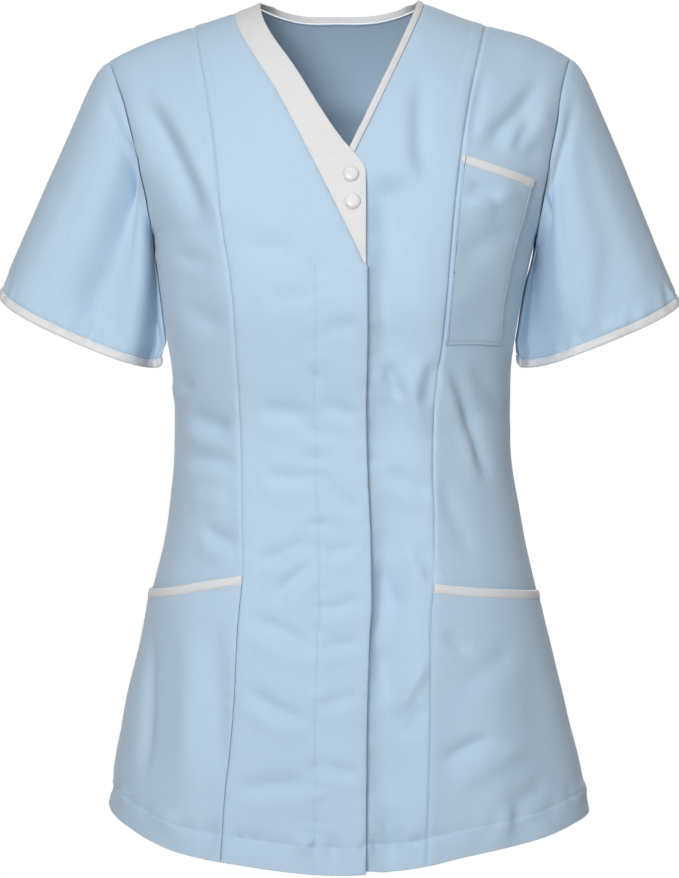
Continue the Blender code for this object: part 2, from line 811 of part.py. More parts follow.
def make_neck_band():
    """The wide white band: shoulder seam to its tip on the front edge."""
    low_z = NECK_LINE_RIGHT[0].z
    stations = np.linspace(0, 1, BAND_ROWS + 1)
    inner_v = neck_rows(NECK_LINE_RIGHT, low_z + SEAM_GAP, stations)
    outer_v = neck_rows(BAND_EDGE, low_z, stations**BAND_ROW_BIAS)
    inner_a = seam_a(FRONT, NECK_LINE_RIGHT, inner_v)
    outer_a = seam_a(FRONT, BAND_EDGE, outer_v)
    share = np.linspace(0, 1, BAND_COLUMNS + 1)
    a = outer_a[:, None] * (1 - share) + inner_a[:, None] * share
    v = outer_v[:, None] * (1 - share) + inner_v[:, None] * share
    return cloth_wall("neck_band", FRONT, a, v, WHITE)


def neck_rows(line, low_z, stations):
    """The rows along a neck line, from a height up to the shoulder seam."""
    start = locate(FRONT, through(line, "z", "x", low_z), low_z)[1]
    return start + (2 - start) * stations


def neck_seam_points():
    """The seam under the narrow binding, from behind the band up the left front and round the nape."""
    low_z = NECK_BINDING_START_Z
    start = locate(FRONT, through(NECK_LINE_LEFT, "z", "x", low_z), low_z)[1]
    rows = panel_rows()
    clear = (rows[-1] - rows[-2]) / 4
    front_v = np.concatenate([[start], rows[rows > start + clear]])
    front_a = seam_a(FRONT, NECK_LINE_LEFT, front_v)
    back_a = nape_turns()[::-1][1:]
    back_v = nape_v(back_a)
    halves = [(FRONT, front_a, front_v), (BACK, back_a, back_v)]
    points, outs = [], []
    for half, a, v in halves:
        place = smooth_point(half, a, v)
        drop = underlap_lift(place[:, 0], place[:, 2]) if half == FRONT else np.zeros(len(a))
        points.append(cloth_point(half, a, v, drop - CLOTH / 2))
        outs.append(normal(half, a, v))
    return np.concatenate(points), np.concatenate(outs)


def make_neck_binding():
    """The narrow white binding that rounds off the left neckline and the back neck."""
    points, out = neck_seam_points()
    run = np.gradient(points, axis=0)
    run /= np.linalg.norm(run, axis=1, keepdims=True)
    inward = np.cross(out, run)
    inward /= np.linalg.norm(inward, axis=1, keepdims=True)
    middle = points + inward * (BINDING_WIDTH / 2 + SEAM_GAP)
    corners = []
    for across, up in BINDING_SECTION:
        corners.append(middle + inward * across * BINDING_WIDTH / 2 + out * up * BINDING_THICK / 2)
    rings = np.stack(corners, axis=1)
    rings[-1, :, 1] = np.maximum(rings[-1, :, 1], SEAM_GAP)  # it ends at the band's shoulder seam
    return bar("neck_binding", rings, WHITE)


# ---------------------------------------------------------------- pockets


def make_breast_pocket():
    """The breast pocket on the wearer's left, with its white top."""
    share = np.linspace(0, 1, BREAST_COLUMNS + 1)
    for node, finish, low_drop, top_drop, count, proud in (
        ("breast_pocket", BLUE, None, POCKET_BINDING + SEAM_GAP, BREAST_ROWS, 0.0),
        ("breast_pocket_binding", WHITE, POCKET_BINDING, 0.0, 1, (BINDING_THICK - CLOTH) / 2),
    ):
        top_x = BREAST_MOUTH[0].x * (1 - share) + BREAST_MOUTH[1].x * share
        top_z = through(BREAST_MOUTH, "x", "z", top_x) - top_drop
        if low_drop is None:
            low_z = np.full_like(share, BREAST_BOTTOM_Z)
        else:
            low_z = through(BREAST_MOUTH, "x", "z", top_x) - low_drop
        up = np.linspace(0, 1, count + 1)[:, None]
        z = low_z * (1 - up) + top_z * up
        near = through(PRINCESS_LEFT, "z", "x", z) + 2 * SEAM_GAP
        far = through(BREAST_RIGHT_EDGE, "z", "x", z)
        a, v = locate(FRONT, near * (1 - share) + far * share, z)
        cloth_wall(node, FRONT, a, v, finish, lift=BREAST_GAP + CLOTH + proud, thick=CLOTH + proud)


# ---------------------------------------------------------------- sleeves


def armhole_ring(side):
    """The armhole's edge through the panels' own rows: its points and their turns round it.

    It runs from the shoulder tip down the front, under the arm and up the back, and a turn is a
    share of the way round, with the underarm at a half.
    """
    rings, turns = [], []
    for half, start in ((FRONT, 0.0), (BACK, 1.0)):
        v = upper_rows()[::-1]
        ring = smooth_point(half, side * armhole_a(half, v), v)
        ring[[0, -1], 1] = 0.0
        length = np.concatenate([[0], np.cumsum(np.linalg.norm(np.diff(ring, axis=0), axis=1))])
        turn = np.abs(start - length / length[-1] / 2)
        order = slice(None, -1) if half == FRONT else slice(None, 0, -1)
        rings.append(ring[order])
        turns.append(turn[order])
    return np.concatenate(rings), np.concatenate(turns)


def cuff_ring(cuff, turns):
    """The sleeve's lower edge at the same turns as the armhole."""
    outer = np.array([cuff.outer_x, 0, cuff.outer_z])
    inner = np.array([cuff.inner_x, 0, cuff.inner_z])
    centre, half_width = (outer + inner) / 2, (outer - inner) / 2
    side, fore = np.cos(2 * math.pi * turns), np.sin(2 * math.pi * turns)
    size = (np.abs(side) ** CUFF_SQUARE + np.abs(fore) ** CUFF_SQUARE) ** (1 / CUFF_SQUARE)
    forward = np.array([0, -cuff.half_depth, -cuff.front_dip])
    return centre + np.outer(side / size, half_width) + np.outer(fore / size, forward)


def slant(ring, down):
    """The sine of the angle at which each column leaves the ring."""
    run = np.roll(ring, -1, axis=0) - np.roll(ring, 1, axis=0)
    sizes = np.linalg.norm(run, axis=1) * np.linalg.norm(down, axis=1)
    return np.linalg.norm(np.cross(run, down), axis=1) / sizes


def sleeve_surface(cuff, t, lift=0.0):
    """A sleeve's outer face at shares t of each column's way from armhole to cuff, lifted outwards."""
    top, turns = armhole_ring(cuff.side)
    down = cuff_ring(cuff, turns) - top
    base = top + down * t[..., None]
    around = np.roll(base, -1, axis=1) - np.roll(base, 1, axis=1)
    out = np.cross(around, np.broadcast_to(down, base.shape)) * cuff.side
    out /= np.linalg.norm(out, axis=-1, keepdims=True)
    upper = np.clip(np.cos(2 * math.pi * turns), 0, 1)
    height = HEAD_PUFF * upper * (1 - np.exp(-t / HEAD_RISE)) * (1 - HEAD_FADE * t)
    sideways = np.abs(np.sin(2 * math.pi * turns))
    height = height + SLEEVE_SWELL * sideways * np.sin(math.pi * np.clip(t, 0, 1)) ** 1.5
    for fold in SLEEVE_FOLDS:
        off = turns - fold.turn - fold.drift * t
        deep = smooth_step(t / SLEEVE_FOLD_RISE)
        height = height + fold.height * deep * np.exp(-((off / fold.width) ** 2))
    return base + out * (height + lift)[..., None]


def make_sleeve(name, cuff):
    """A sleeve as a tube from the armhole to its binding, and the binding below it."""
    top, turns = armhole_ring(cuff.side)
    end = cuff_ring(cuff, turns)
    length = np.linalg.norm(end - top, axis=1)
    share = np.linspace(0, 1, SLEEVE_ROWS + 1)[:, None]
    t = share + (1 - share) * SLEEVE_SEAM_GAP / (length * slant(top, end - top))
    wall(f"sleeve_{name}", sleeve_surface(cuff, t), sleeve_surface(cuff, t, -CLOTH), BLUE, tube=True)
    share = np.linspace(0, 1, BINDING_STEPS + 1)[:, None]
    t = 1 + (SEAM_GAP / slant(end, end - top) + share * SLEEVE_BINDING) / length
    proud = (BINDING_THICK - CLOTH) / 2
    outer, inner = (sleeve_surface(cuff, t, lift) for lift in (proud, -CLOTH - proud))
    wall(f"sleeve_binding_{name}", outer, inner, WHITE, tube=True)


# ---------------------------------------------------------------- press studs


def make_stud(stud):
    """A low round cap on the white band."""
    a, v = locate(FRONT, stud.x, stud.z)
    out = normal(FRONT, a, v)
    seat = cloth_point(FRONT, a, v, SEAM_GAP)
    sideways = np.cross([0.0, 0.0, 1.0], out)
    sideways /= np.linalg.norm(sideways)
    upward = np.cross(out, sideways)
    turn = 2 * math.pi * np.arange(STUD_SIDES) / STUD_SIDES
    circle = np.outer(np.cos(turn), sideways) + np.outer(np.sin(turn), upward)
    rings = [seat + circle * STUD_RADIUS * ring.share + out * ring.height for ring in STUD_DOME]
    return bar(stud.name, np.stack(rings), CAP)


def main():
    """Clears the scene and makes every piece."""
    for existing in list(bpy.data.objects):
        bpy.data.objects.remove(existing, do_unlink=True)
    make_right_front_centre()
    make_left_front_centre()
    make_side_front("right", RIGHT, PRINCESS_RIGHT, HIP_MOUTH_RIGHT)
    make_side_front("left", LEFT, PRINCESS_LEFT, HIP_MOUTH_LEFT)
    make_back()
    make_neck_band()
    make_neck_binding()
    make_breast_pocket()
    for name, cuff in zip(("right", "left"), CUFFS):
        make_sleeve(name, cuff)
    for stud in STUDS:
        make_stud(stud)


main()
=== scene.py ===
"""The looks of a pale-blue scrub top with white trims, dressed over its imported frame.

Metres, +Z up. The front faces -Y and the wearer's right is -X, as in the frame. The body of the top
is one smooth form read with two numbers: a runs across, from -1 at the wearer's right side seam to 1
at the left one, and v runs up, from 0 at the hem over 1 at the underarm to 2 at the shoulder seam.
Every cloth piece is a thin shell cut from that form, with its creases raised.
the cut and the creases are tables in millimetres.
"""

import logging
import math
from dataclasses import dataclass, field, replace
from enum import Enum, IntEnum
from functools import lru_cache

import bpy
import numpy as np
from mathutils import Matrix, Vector


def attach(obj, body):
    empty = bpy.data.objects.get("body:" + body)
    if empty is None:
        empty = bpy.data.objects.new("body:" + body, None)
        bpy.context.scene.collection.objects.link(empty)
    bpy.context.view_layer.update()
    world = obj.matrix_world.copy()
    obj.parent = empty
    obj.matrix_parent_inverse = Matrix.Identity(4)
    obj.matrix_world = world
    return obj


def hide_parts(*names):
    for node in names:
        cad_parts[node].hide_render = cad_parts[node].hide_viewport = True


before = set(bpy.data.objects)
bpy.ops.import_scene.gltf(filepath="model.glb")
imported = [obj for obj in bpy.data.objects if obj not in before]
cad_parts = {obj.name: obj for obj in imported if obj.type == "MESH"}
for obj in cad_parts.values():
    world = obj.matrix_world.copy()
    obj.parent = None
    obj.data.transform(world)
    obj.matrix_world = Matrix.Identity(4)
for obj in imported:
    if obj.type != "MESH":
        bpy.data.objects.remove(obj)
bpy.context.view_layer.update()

log = logging.getLogger("scrub_top")

Array, Socket, Piece = np.ndarray, bpy.types.NodeSocket, bpy.types.Object

# ---------------------------------------------------------------- options


class Half(IntEnum):
    """The front or the back of the body, as the sign of Y."""

    FRONT = -1
    BACK = 1

    @property
    def word(self) -> str:
        """The name of this half's column in the tables."""
        return self.name.lower()


class Side(IntEnum):
    """The wearer's right or left, as the sign of X."""

    RIGHT = -1
    LEFT = 1

    @property
    def word(self) -> str:
        """The word in this side's piece names."""
        return self.name.lower()


class Fold(Enum):
    """How a crease's section looks."""

    SOFT = "one rounded ridge or trough"
    DRAG = "a ridge or trough with a shallow return beside it"


class Slot(Enum):
    """The material slots of the record."""

    BLUE = "pale_blue_cloth"
    WHITE = "white_cloth"
    CAP = "white_stud_cap"


FRONT, BACK = Half.FRONT, Half.BACK
SOFT, DRAG = Fold.SOFT, Fold.DRAG

# ---------------------------------------------------------------- the cut, as the frame has it

MM = 1000  # millimetres to a metre, for the long tables
CLOTH = 0.0012  # thickness of a cloth shell, as in the frame
SEAM_GAP = 0.0004  # between two pieces sewn edge to edge
LAID_GAP = 0.0009  # between a panel and what lies on it
BREAST_GAP = 0.0011
UNDERLAP_DROP = 0.0024  # how far the left front lies behind the right front
UNDERLAP = 0.036
UNDERLAP_RISE = 0.0020
EASE_START = 0.003
EASE_IN = 0.014

UNDERARM_Z = -0.200
CHEST_ROUND = 1.7
BACK_ROUND = 2.15
NECK_HALF_WIDTH = 0.0720
BACK_NECK_DEPTH = 0.056
NAPE_SIDE_SQUARE, NAPE_BACK_SQUARE = 2.4, 1.9
NECK_BINDING_START_Z = -0.139
BREAST_BOTTOM_Z = -0.2935


@dataclass(frozen=True)
class Girth:
    """One level round the body, below the underarm: its reach to each side and how square it is."""

    z: float
    right: float
    left: float
    square: float


@dataclass(frozen=True)
class Yoke:
    """One level above the underarm, by its share of the way up the arch to the shoulder seam."""

    u: float
    right: float
    left: float
    square: float


@dataclass(frozen=True)
class Depth:
    """How far the centre front and the centre back stand from the side seams at a height."""

    z: float
    front: float
    back: float


@dataclass(frozen=True)
class Line:
    """A point of a line on the body, as seen from the front or the back."""

    z: float
    x: float


def line(*rows: tuple[float, float]) -> tuple[Line, ...]:
    """A line of the cut from its points' z and x, in millimetres."""
    return tuple(Line(z / MM, x / MM) for z, x in rows)


@dataclass(frozen=True)
class Hem:
    """The height of the hem at a place round the body."""

    a: float
    z: float


@dataclass(frozen=True)
class ArmholePoint:
    """The edge of the armhole by its share of the way up, on the front and on the back."""

    u: float
    front: float
    back: float


@dataclass(frozen=True)
class Cuff:
    """A sleeve's lower edge: its outer and inner ends from the front, its half depth and lean."""

    side: Side
    outer_x: float
    outer_z: float
    inner_x: float
    inner_z: float
    half_depth: float
    front_dip: float


def table(kind: type, *rows: tuple) -> tuple:
    """A table of records, each from its fields in order."""
    return tuple(kind(*row) for row in rows)


GIRTHS = table(
    Girth,
    (-0.74, 0.203, 0.217, 2.25), (-0.68, 0.194, 0.2083, 2.25), (-0.6, 0.1814, 0.1917, 2.3),
    (-0.52, 0.1636, 0.1722, 2.3), (-0.44, 0.1455, 0.1541, 2.3), (-0.37, 0.1389, 0.1443, 2.3),
    (-0.316, 0.1416, 0.1446, 2.4), (-0.27, 0.149, 0.151, 2.5), (UNDERARM_Z, 0.1565, 0.1655, 2.6),
)
YOKES = table(
    Yoke,
    (0, 0.1565, 0.1655, 2.6), (0.25, 0.1752, 0.1827, 3.1), (0.5, 0.1863, 0.1918, 3.4),
    (0.75, 0.194, 0.1958, 3.4), (1, 0.1962, 0.1962, 3.2),
)
DEPTHS = table(
    Depth,
    (-0.74, 0.137, 0.131), (-0.66, 0.131, 0.126), (-0.58, 0.125, 0.118), (-0.5, 0.116, 0.103),
    (-0.43, 0.107, 0.088), (-0.365, 0.104, 0.0805), (-0.31, 0.115, 0.0885), (-0.255, 0.126, 0.102),
    (-0.2, 0.123, 0.111), (-0.12, 0.114, 0.112), (0.01, 0.106, 0.106),
)
CRESTS = line(  # the shoulder line
    (-52, -196.2), (-46.6, -186.8), (-33.9, -158.8), (-22, -123.2), (-6.2, -77.5), (-0.5, -64),
    (15, 0), (-0.5, 68), (-4, 76.7), (-20.3, 122), (-29.6, 157.7), (-37.5, 176), (-49, 196.2),
)
FRONT_HEM = table(
    Hem,
    (-1, -0.6735), (-0.68, -0.6905), (-0.55, -0.7005), (-0.45, -0.708), (-0.3, -0.715), (0, -0.7238),
    (0.15, -0.7202), (0.32, -0.7098), (0.53, -0.6992), (0.74, -0.6885), (1, -0.6827),
)
BACK_HEM = table(
    Hem,
    (-1, -0.6735), (-0.55, -0.702), (0, -0.726), (0.55, -0.706), (1, -0.6827),
)
PRINCESS_RIGHT = line(
    (-745, -98.5), (-670, -94.2), (-593, -86.7), (-524, -83.1), (-481, -79.7), (-437, -80.8),
    (-364, -82.6), (-318, -84.7), (-258, -88.4), (-190, -97.7), (-135, -103.4), (-94, -109.4),
    (-27, -122.8), (10, -131),
)
PRINCESS_LEFT = line(
    (-745, 70), (-663, 72.7), (-593, 74.8), (-523, 75), (-490, 77.7), (-437, 78.8), (-398, 77.4),
    (-355, 78.2), (-328, 80.3), (-290, 85.2), (-250, 89.2), (-204, 92.7), (-138, 100.2),
    (-79, 110.4), (-27, 122.4), (10, 131),
)
FRONT_EDGE = line(
    (-745, 20.8), (-611, 21.8), (-532, 24.1), (-506, 25.7), (-454, 25.1), (-400, 22.6),
    (-345, 21.3), (-296, 22.3), (-229, 22.4), (-151, 21.5),
)
NECK_LINE_RIGHT = line(  # the opening side of the white band
    (-229, 21.4), (-152, 21.4), (-133.2, 9.4), (-128.7, 4.9), (-70.3, -32.6), (-8, -67.2),
    (10, -69),
)
BAND_EDGE = line(  # the side of the white band that is sewn to the centre front
    (-229, 20.6), (-171.5, -7), (-90, -48), (-16, -87.5), (10, -92),
)
NECK_LINE_LEFT = line(  # the seam between the left front and its binding
    (-192, -13.5), (-140, 10.5), (-70, 44), (-25, 64), (-8, 70.5), (-2, 72), (10, 72.5),
)
ARMHOLE = table(
    ArmholePoint,
    (0, 1, 1), (0.02, 0.9, 0.91), (0.06, 0.805, 0.83), (0.15, 0.725, 0.76), (0.3, 0.69, 0.73),
    (0.5, 0.68, 0.725), (0.7, 0.705, 0.745), (0.85, 0.775, 0.8), (0.95, 0.88, 0.89), (1, 1, 1),
)
BREAST_OUTER_EDGE = line(
    (-300, 134.5), (-235, 142), (-165, 158.5), (-150, 160),
)
BREAST_MOUTH = line((-138.5, 99), (-156, 158))
HIP_MOUTHS = {
    Side.RIGHT: line((-497.5, -162), (-495.5, -145), (-488.5, -110), (-483.5, -80)),
    Side.LEFT: line((-490.5, 77), (-493.5, 110), (-496, 145), (-498.5, 170)),
}
PRINCESS = {Side.RIGHT: PRINCESS_RIGHT, Side.LEFT: PRINCESS_LEFT}
CUFFS = {
    Side.RIGHT: Cuff(Side.RIGHT, -0.2840, -0.2435, -0.1550, -0.3000, 0.047, 0.0120),
    Side.LEFT: Cuff(Side.LEFT, 0.2835, -0.2490, 0.1545, -0.3005, 0.047, 0.0105),
}

# ---------------------------------------------------------------- curves


def through(rows: tuple, key: str, column: str, at: Array) -> Array:
    """A smooth curve through one column of a table, with no overshoot.

    Args:
        rows: the table, in rising order of its key.
        key: the name of the key column.
        column: the name of the column to read.
        at: the keys to read it at.

    Returns:
        The column's value at each key.
    """
    x = np.array([getattr(row, key) for row in rows])
    y = np.array([getattr(row, column) for row in rows])
    slope = np.diff(y) / np.diff(x)
    before, after = slope[:-1], slope[1:]
    together = np.where(before * after > 0, before + after, 1.0)
    inner = np.where(before * after > 0, 2 * before * after / together, 0.0)
    tangent = np.concatenate([slope[:1], inner, slope[-1:]])
    at = np.clip(at, x[0], x[-1])
    k = np.clip(np.searchsorted(x, at) - 1, 0, len(x) - 2)
    width = x[k + 1] - x[k]
    t = (at - x[k]) / width
    lift = t * t * (3 - 2 * t) * (y[k + 1] - y[k])
    start = t * (1 - t) ** 2 * width * tangent[k]
    end = t * t * (t - 1) * width * tangent[k + 1]
    return y[k] + lift + start + end


def smooth_step(value: Array) -> Array:
    """0 below 0, 1 above 1, and a smooth rise between."""
    t = np.clip(value, 0, 1)
    return t * t * (3 - 2 * t)


def bell(distance: Array, width: float | Array) -> Array:
    """1 at no distance, and falling away smoothly over about one width."""
    return np.exp(-((distance / width) ** 2))


def nearest(values: Array, wanted: float) -> int:
    """The number of the value that comes nearest to the one wanted."""
    return int(np.argmin(np.abs(values - wanted)))


def round_corner(turn: Array, square: Array) -> tuple[Array, Array]:
    """A superellipse's sideways and forward shares.

    Args:
        turn: the angle from straight ahead, in quarter turns.
        square: the superellipse's power.

    Returns:
        The sideways share and the forward share.
    """
    side, fore = np.sin(turn * math.pi / 2), np.cos(turn * math.pi / 2)
    size = (np.abs(side) ** square + np.abs(fore) ** square) ** (1 / square)
    return side / size, fore / size


def turn_at(share: Array, square: Array) -> Array:
    """The quarter turns at which a superellipse reaches a sideways share.

    Args:
        share: the sideways share.
        square: the superellipse's power.

    Returns:
        The quarter turns.
    """
    share = np.clip(share, -1, 1)
    fore = (1 - np.abs(share) ** square) ** (1 / square)
    return np.arctan2(share, fore) / (math.pi / 2)


def unit(vectors: Array) -> Array:
    """The vectors at length 1."""
    return vectors / np.linalg.norm(vectors, axis=-1, keepdims=True)


def run_length(points: Array, axis: int = 0) -> Array:
    """The length along a line of points from its start, at each point.

    Args:
        points: the points, with x, y and z on the last axis.
        axis: the axis that the line runs along.

    Returns:
        The lengths, with one axis fewer.
    """
    steps = np.linalg.norm(np.diff(points, axis=axis), axis=-1)
    total = np.cumsum(steps, axis=axis)
    start = np.zeros_like(np.take(total, [0], axis=axis))
    return np.concatenate([start, total], axis=axis)


# ---------------------------------------------------------------- the body's form


class BodyForm:
    """The smooth worn form of the body, the same as the frame's solids are cut from."""

    STEP = 0.001
    LIMIT = 0.97
    TIP_EASE = 0.17  # how much further in directions are read near the shoulder's tip
    TIP_START, TIP_REACH = 1.88, 0.08
    ROUNDS = 14

    def arch_round(self, half: Half) -> float:
        """How squarely a half rises over to the shoulder seam."""
        return CHEST_ROUND if half == FRONT else BACK_ROUND

    def hem_height(self, half: Half, a: Array) -> Array:
        """The hem's height at a."""
        return through(FRONT_HEM if half == FRONT else BACK_HEM, "a", "z", a)

    def reach_and_square(
        self, sign: Array, u: Array, z: Array
    ) -> tuple[Array, Array]:
        """The sideways reach and squareness at a level.

        Args:
            sign: negative on the wearer's right.
            u: the share of the way up the arch, 0 below the underarm.
            z: the height, below the underarm.

        Returns:
            The reach and the superellipse's power.
        """
        low = np.where(sign < 0, through(GIRTHS, "z", "right", z), through(GIRTHS, "z", "left", z))
        top = np.where(sign < 0, through(YOKES, "u", "right", u), through(YOKES, "u", "left", u))
        square = np.where(u > 0, through(YOKES, "u", "square", u), through(GIRTHS, "z", "square", z))
        return np.where(u > 0, top, low), square

    def smooth(self, half: Half, a: Array, v: Array) -> Array:
        """Points of the form without folds.

        Args:
            half: the front or the back.
            a: the places across.
            v: the places up.

        Returns:
            The points.
        """
        a, v = np.broadcast_arrays(np.asarray(a, float), np.asarray(v, float))
        u = np.clip(v - 1, 0, None)
        hem = self.hem_height(half, a)
        z_low = hem + (UNDERARM_Z - hem) * np.minimum(v, 1)
        reach, square = self.reach_and_square(a, u, z_low)
        across, fore = round_corner(a, square)
        x = reach * across
        up, out = round_corner(u, self.arch_round(half))
        z = z_low + (through_crest(x) - UNDERARM_Z) * up * (u > 0)
        depth = through(DEPTHS, "z", half.word, z)
        return np.stack([x, half * (SEAM_GAP / 2 + depth * fore * out), z], axis=-1)

    def locate(self, half: Half, x: Array, z: Array) -> tuple[Array, Array]:
        """Where the form lies at a place seen from the front or the back.

        Args:
            half: the front or the back.
            x: the places across, in metres.
            z: the heights.

        Returns:
            The a and v of each place.
        """
        x, z = np.broadcast_arrays(np.asarray(x, float), np.asarray(z, float))
        crest = through_crest(x)
        u = turn_at((z - UNDERARM_Z) / (crest - UNDERARM_Z), self.arch_round(half))
        u = np.where(z > UNDERARM_Z, u, 0)
        reach, square = self.reach_and_square(x, u, z)
        a = turn_at(x / reach, square)
        hem = self.hem_height(half, a)
        return a, np.where(z > UNDERARM_Z, 1 + u, (z - hem) / (UNDERARM_Z - hem))

    def normal(self, half: Half, a: Array, v: Array) -> Array:
        """The outward direction of the smooth form at (a, v).

        Args:
            half: the front or the back.
            a: the places across.
            v: the places up.

        Returns:
            The directions.
        """
        a, v = np.broadcast_arrays(np.asarray(a, float), np.asarray(v, float))
        limit = self.LIMIT - self.TIP_EASE * smooth_step((v - self.TIP_START) / self.TIP_REACH)
        a = np.clip(a, -limit, limit)
        v = np.clip(v, self.STEP, 2 - 3 * self.STEP)
        across = self.smooth(half, a + self.STEP, v) - self.smooth(half, a - self.STEP, v)
        up = self.smooth(half, a, v + self.STEP) - self.smooth(half, a, v - self.STEP)
        return unit(-half * np.cross(across, up))

    def seam(self, half: Half, line: tuple, v: Array, shift: float = 0.0) -> Array:
        """Where a line of the cut crosses each row.

        Args:
            half: the front or the back.
            line: the line's table.
            v: the rows.
            shift: how far to the wearer's left it is moved, in metres.

        Returns:
            The a of the line on each row.
        """
        a = np.zeros_like(v)
        for _ in range(self.ROUNDS):
            z = self.smooth(half, a, v)[..., 2]
            x = through(line, "z", "x", z) + shift
            reach, square = self.reach_and_square(x, np.clip(v - 1, 0, None), z)
            a = turn_at(x / reach, square)
        return a

    def armhole(self, half: Half, v: Array) -> Array:
        """How far from the centre the armhole or the side seam lies on each row."""
        return np.where(v > 1, through(ARMHOLE, "u", half.word, np.clip(v - 1, 0, 1)), 1.0)


def through_crest(x: Array) -> Array:
    """The height of the shoulder line at x."""
    return through(CRESTS, "x", "z", x)


# ---------------------------------------------------------------- sewing and looks

FLY_WIDTH = 0.0410  # from the front edge to the fly's stitches
HEM_DEPTH = 0.0220
HEM_RISE = 0.00035
SEAM_DEPTH, SEAM_ROLL = 0.0010, 0.0014
HIP_ROLL, CHEST_ROLL = 0.35, 1.60  # the roll into a princess seam, against any other seam's
ALLOWANCE, ALLOWANCE_RISE = 0.009, 0.00035
SIDE_FALL = 0.0036  # how far a side front falls away beside its princess seam
FALL_START, FALL_REACH, FALL_SIDE, FALL_TOP = 0.022, 0.11, 0.032, 0.050
GROOVE_DEPTH, GROOVE_WIDTH = 0.0007, 0.0012
GROOVE_STEPS = (-0.0022, -0.0011, -0.0005, 0.0, 0.0005, 0.0011, 0.0022)  # rows by a line of stitches
EDGE_STEPS = (0.0, 0.0004, 0.0010, 0.0018, 0.0030)  # rows by an edge
PANEL_HEIGHT = UNDERARM_Z - FRONT_HEM[5].z  # at the centre front, from the hem to the underarm's level
SHOULDER_RATE = 0.156  # metres to one v, beside the shoulder seam
SIDE_RATE = 0.19  # metres to one a, beside the back's side seams
ARCH_LENGTH = 0.26  # over the chest, from the underarm's level to the shoulder seam
ARMHOLE_ROW_BIAS = 1.35

BINDING_WIDTH = 0.0060
BINDING_THICK = 0.0020
POCKET_BINDING = 0.0070
POCKET_TUCK, POCKET_EASE = 0.0025, 0.016
SLEEVE_BINDING = 0.0062
SLEEVE_LENGTH, SLEEVE_ROUND = 0.16, 0.36  # the size of a sleeve's own creases' field
HEAD_PUFF, HEAD_RISE, HEAD_FADE = 0.0065, 0.05, 0.65
SLEEVE_SWELL = 0.0040
CUFF_SQUARE = 2.4

# ---------------------------------------------------------------- creases


@dataclass(frozen=True)
class Crease:
    """A ridge (height above 0) or trough along a slightly bowed line, as seen from front or back."""

    x_from: float
    z_from: float
    x_to: float
    z_to: float
    bow: float
    width: float
    height: float
    fold: Fold = SOFT
    start: float = 0.35  # share of its length over which it rises
    end: float = 0.30  # and over which it dies away

    def add_to(self, total: Array, x: Array, z: Array) -> None:
        """Adds this crease's height to a field.

        Args:
            total: the heights so far, changed in place.
            x: the places across.
            z: the heights of the places.
        """
        run_x, run_z = self.x_to - self.x_from, self.z_to - self.z_from
        length = math.hypot(run_x, run_z)
        reach = length / 2 + 3.2 * self.width + abs(self.bow)
        middle_x, middle_z = (self.x_from + self.x_to) / 2, (self.z_from + self.z_to) / 2
        near = (np.abs(x - middle_x) < reach) & (np.abs(z - middle_z) < reach)
        if not near.any():
            return
        x, z = x[near] - self.x_from, z[near] - self.z_from
        along = (x * run_x + z * run_z) / length**2
        off = (x * run_z - z * run_x) / length - self.bow * 4 * along * (1 - along)
        ends = smooth_step(along / self.start) * smooth_step((1 - along) / self.end)
        section = bell(off, self.width)
        if self.fold is DRAG:
            section = section - 0.55 * np.exp(-((off / self.width - 1.7) ** 2) / 1.6)
        total[near] += self.height * ends * section


def creases(*rows: tuple) -> tuple[Crease, ...]:
    """Creases from their fields in order, the seven sizes in millimetres."""
    return tuple(Crease(*(size / MM for size in row[:7]), *row[7:]) for row in rows)


FRAME_FOLDS = {  # the largest folds, which the frame's solids have too
    FRONT: creases(
        (-148, -500, -162, -665, 0, 16, -3.5), (-120, -560, -129, -720, 0, 18, 3),
        (118, -540, 133, -710, 0, 20, 3), (156, -520, 180, -690, 0, 16, -3),
        (-138, -225, -95, -290, 0, 18, -3), (140, -235, 100, -300, 0, 18, -3),
        (-130, -340, -92, -372, 0, 13, -2.2), (130, -335, 90, -375, 0, 13, -2.2),
        (40, -400, 42, -700, 0, 14, -2.6), (-50, -480, -48, -700, 0, 22, 2),
        (-156, -85, -148, -150, 0, 16, -3), (162, -85, 156, -150, 0, 16, -3),
    ),
    BACK: creases(
        (-76, -270, -80, -500, 0, 12, -2.4), (80, -270, 84, -500, 0, 12, -2.4),
        (-125, -550, -148, -715, 0, 20, 3), (130, -540, 156, -715, 0, 20, 3),
        (-30, -560, -36, -725, 0, 20, -2.8), (42, -570, 50, -725, 0, 20, -2.8),
        (-140, -230, -70, -330, 0, 20, -2.6), (145, -240, 75, -320, 0, 20, -2.6),
        (-120, -385, -30, -372, 0, 12, -2.2), (115, -392, 25, -380, 0, 12, -2.2),
        (-156, -80, -144, -160, 0, 16, -2.8), (162, -80, 150, -160, 0, 16, -2.8),
    ),
}
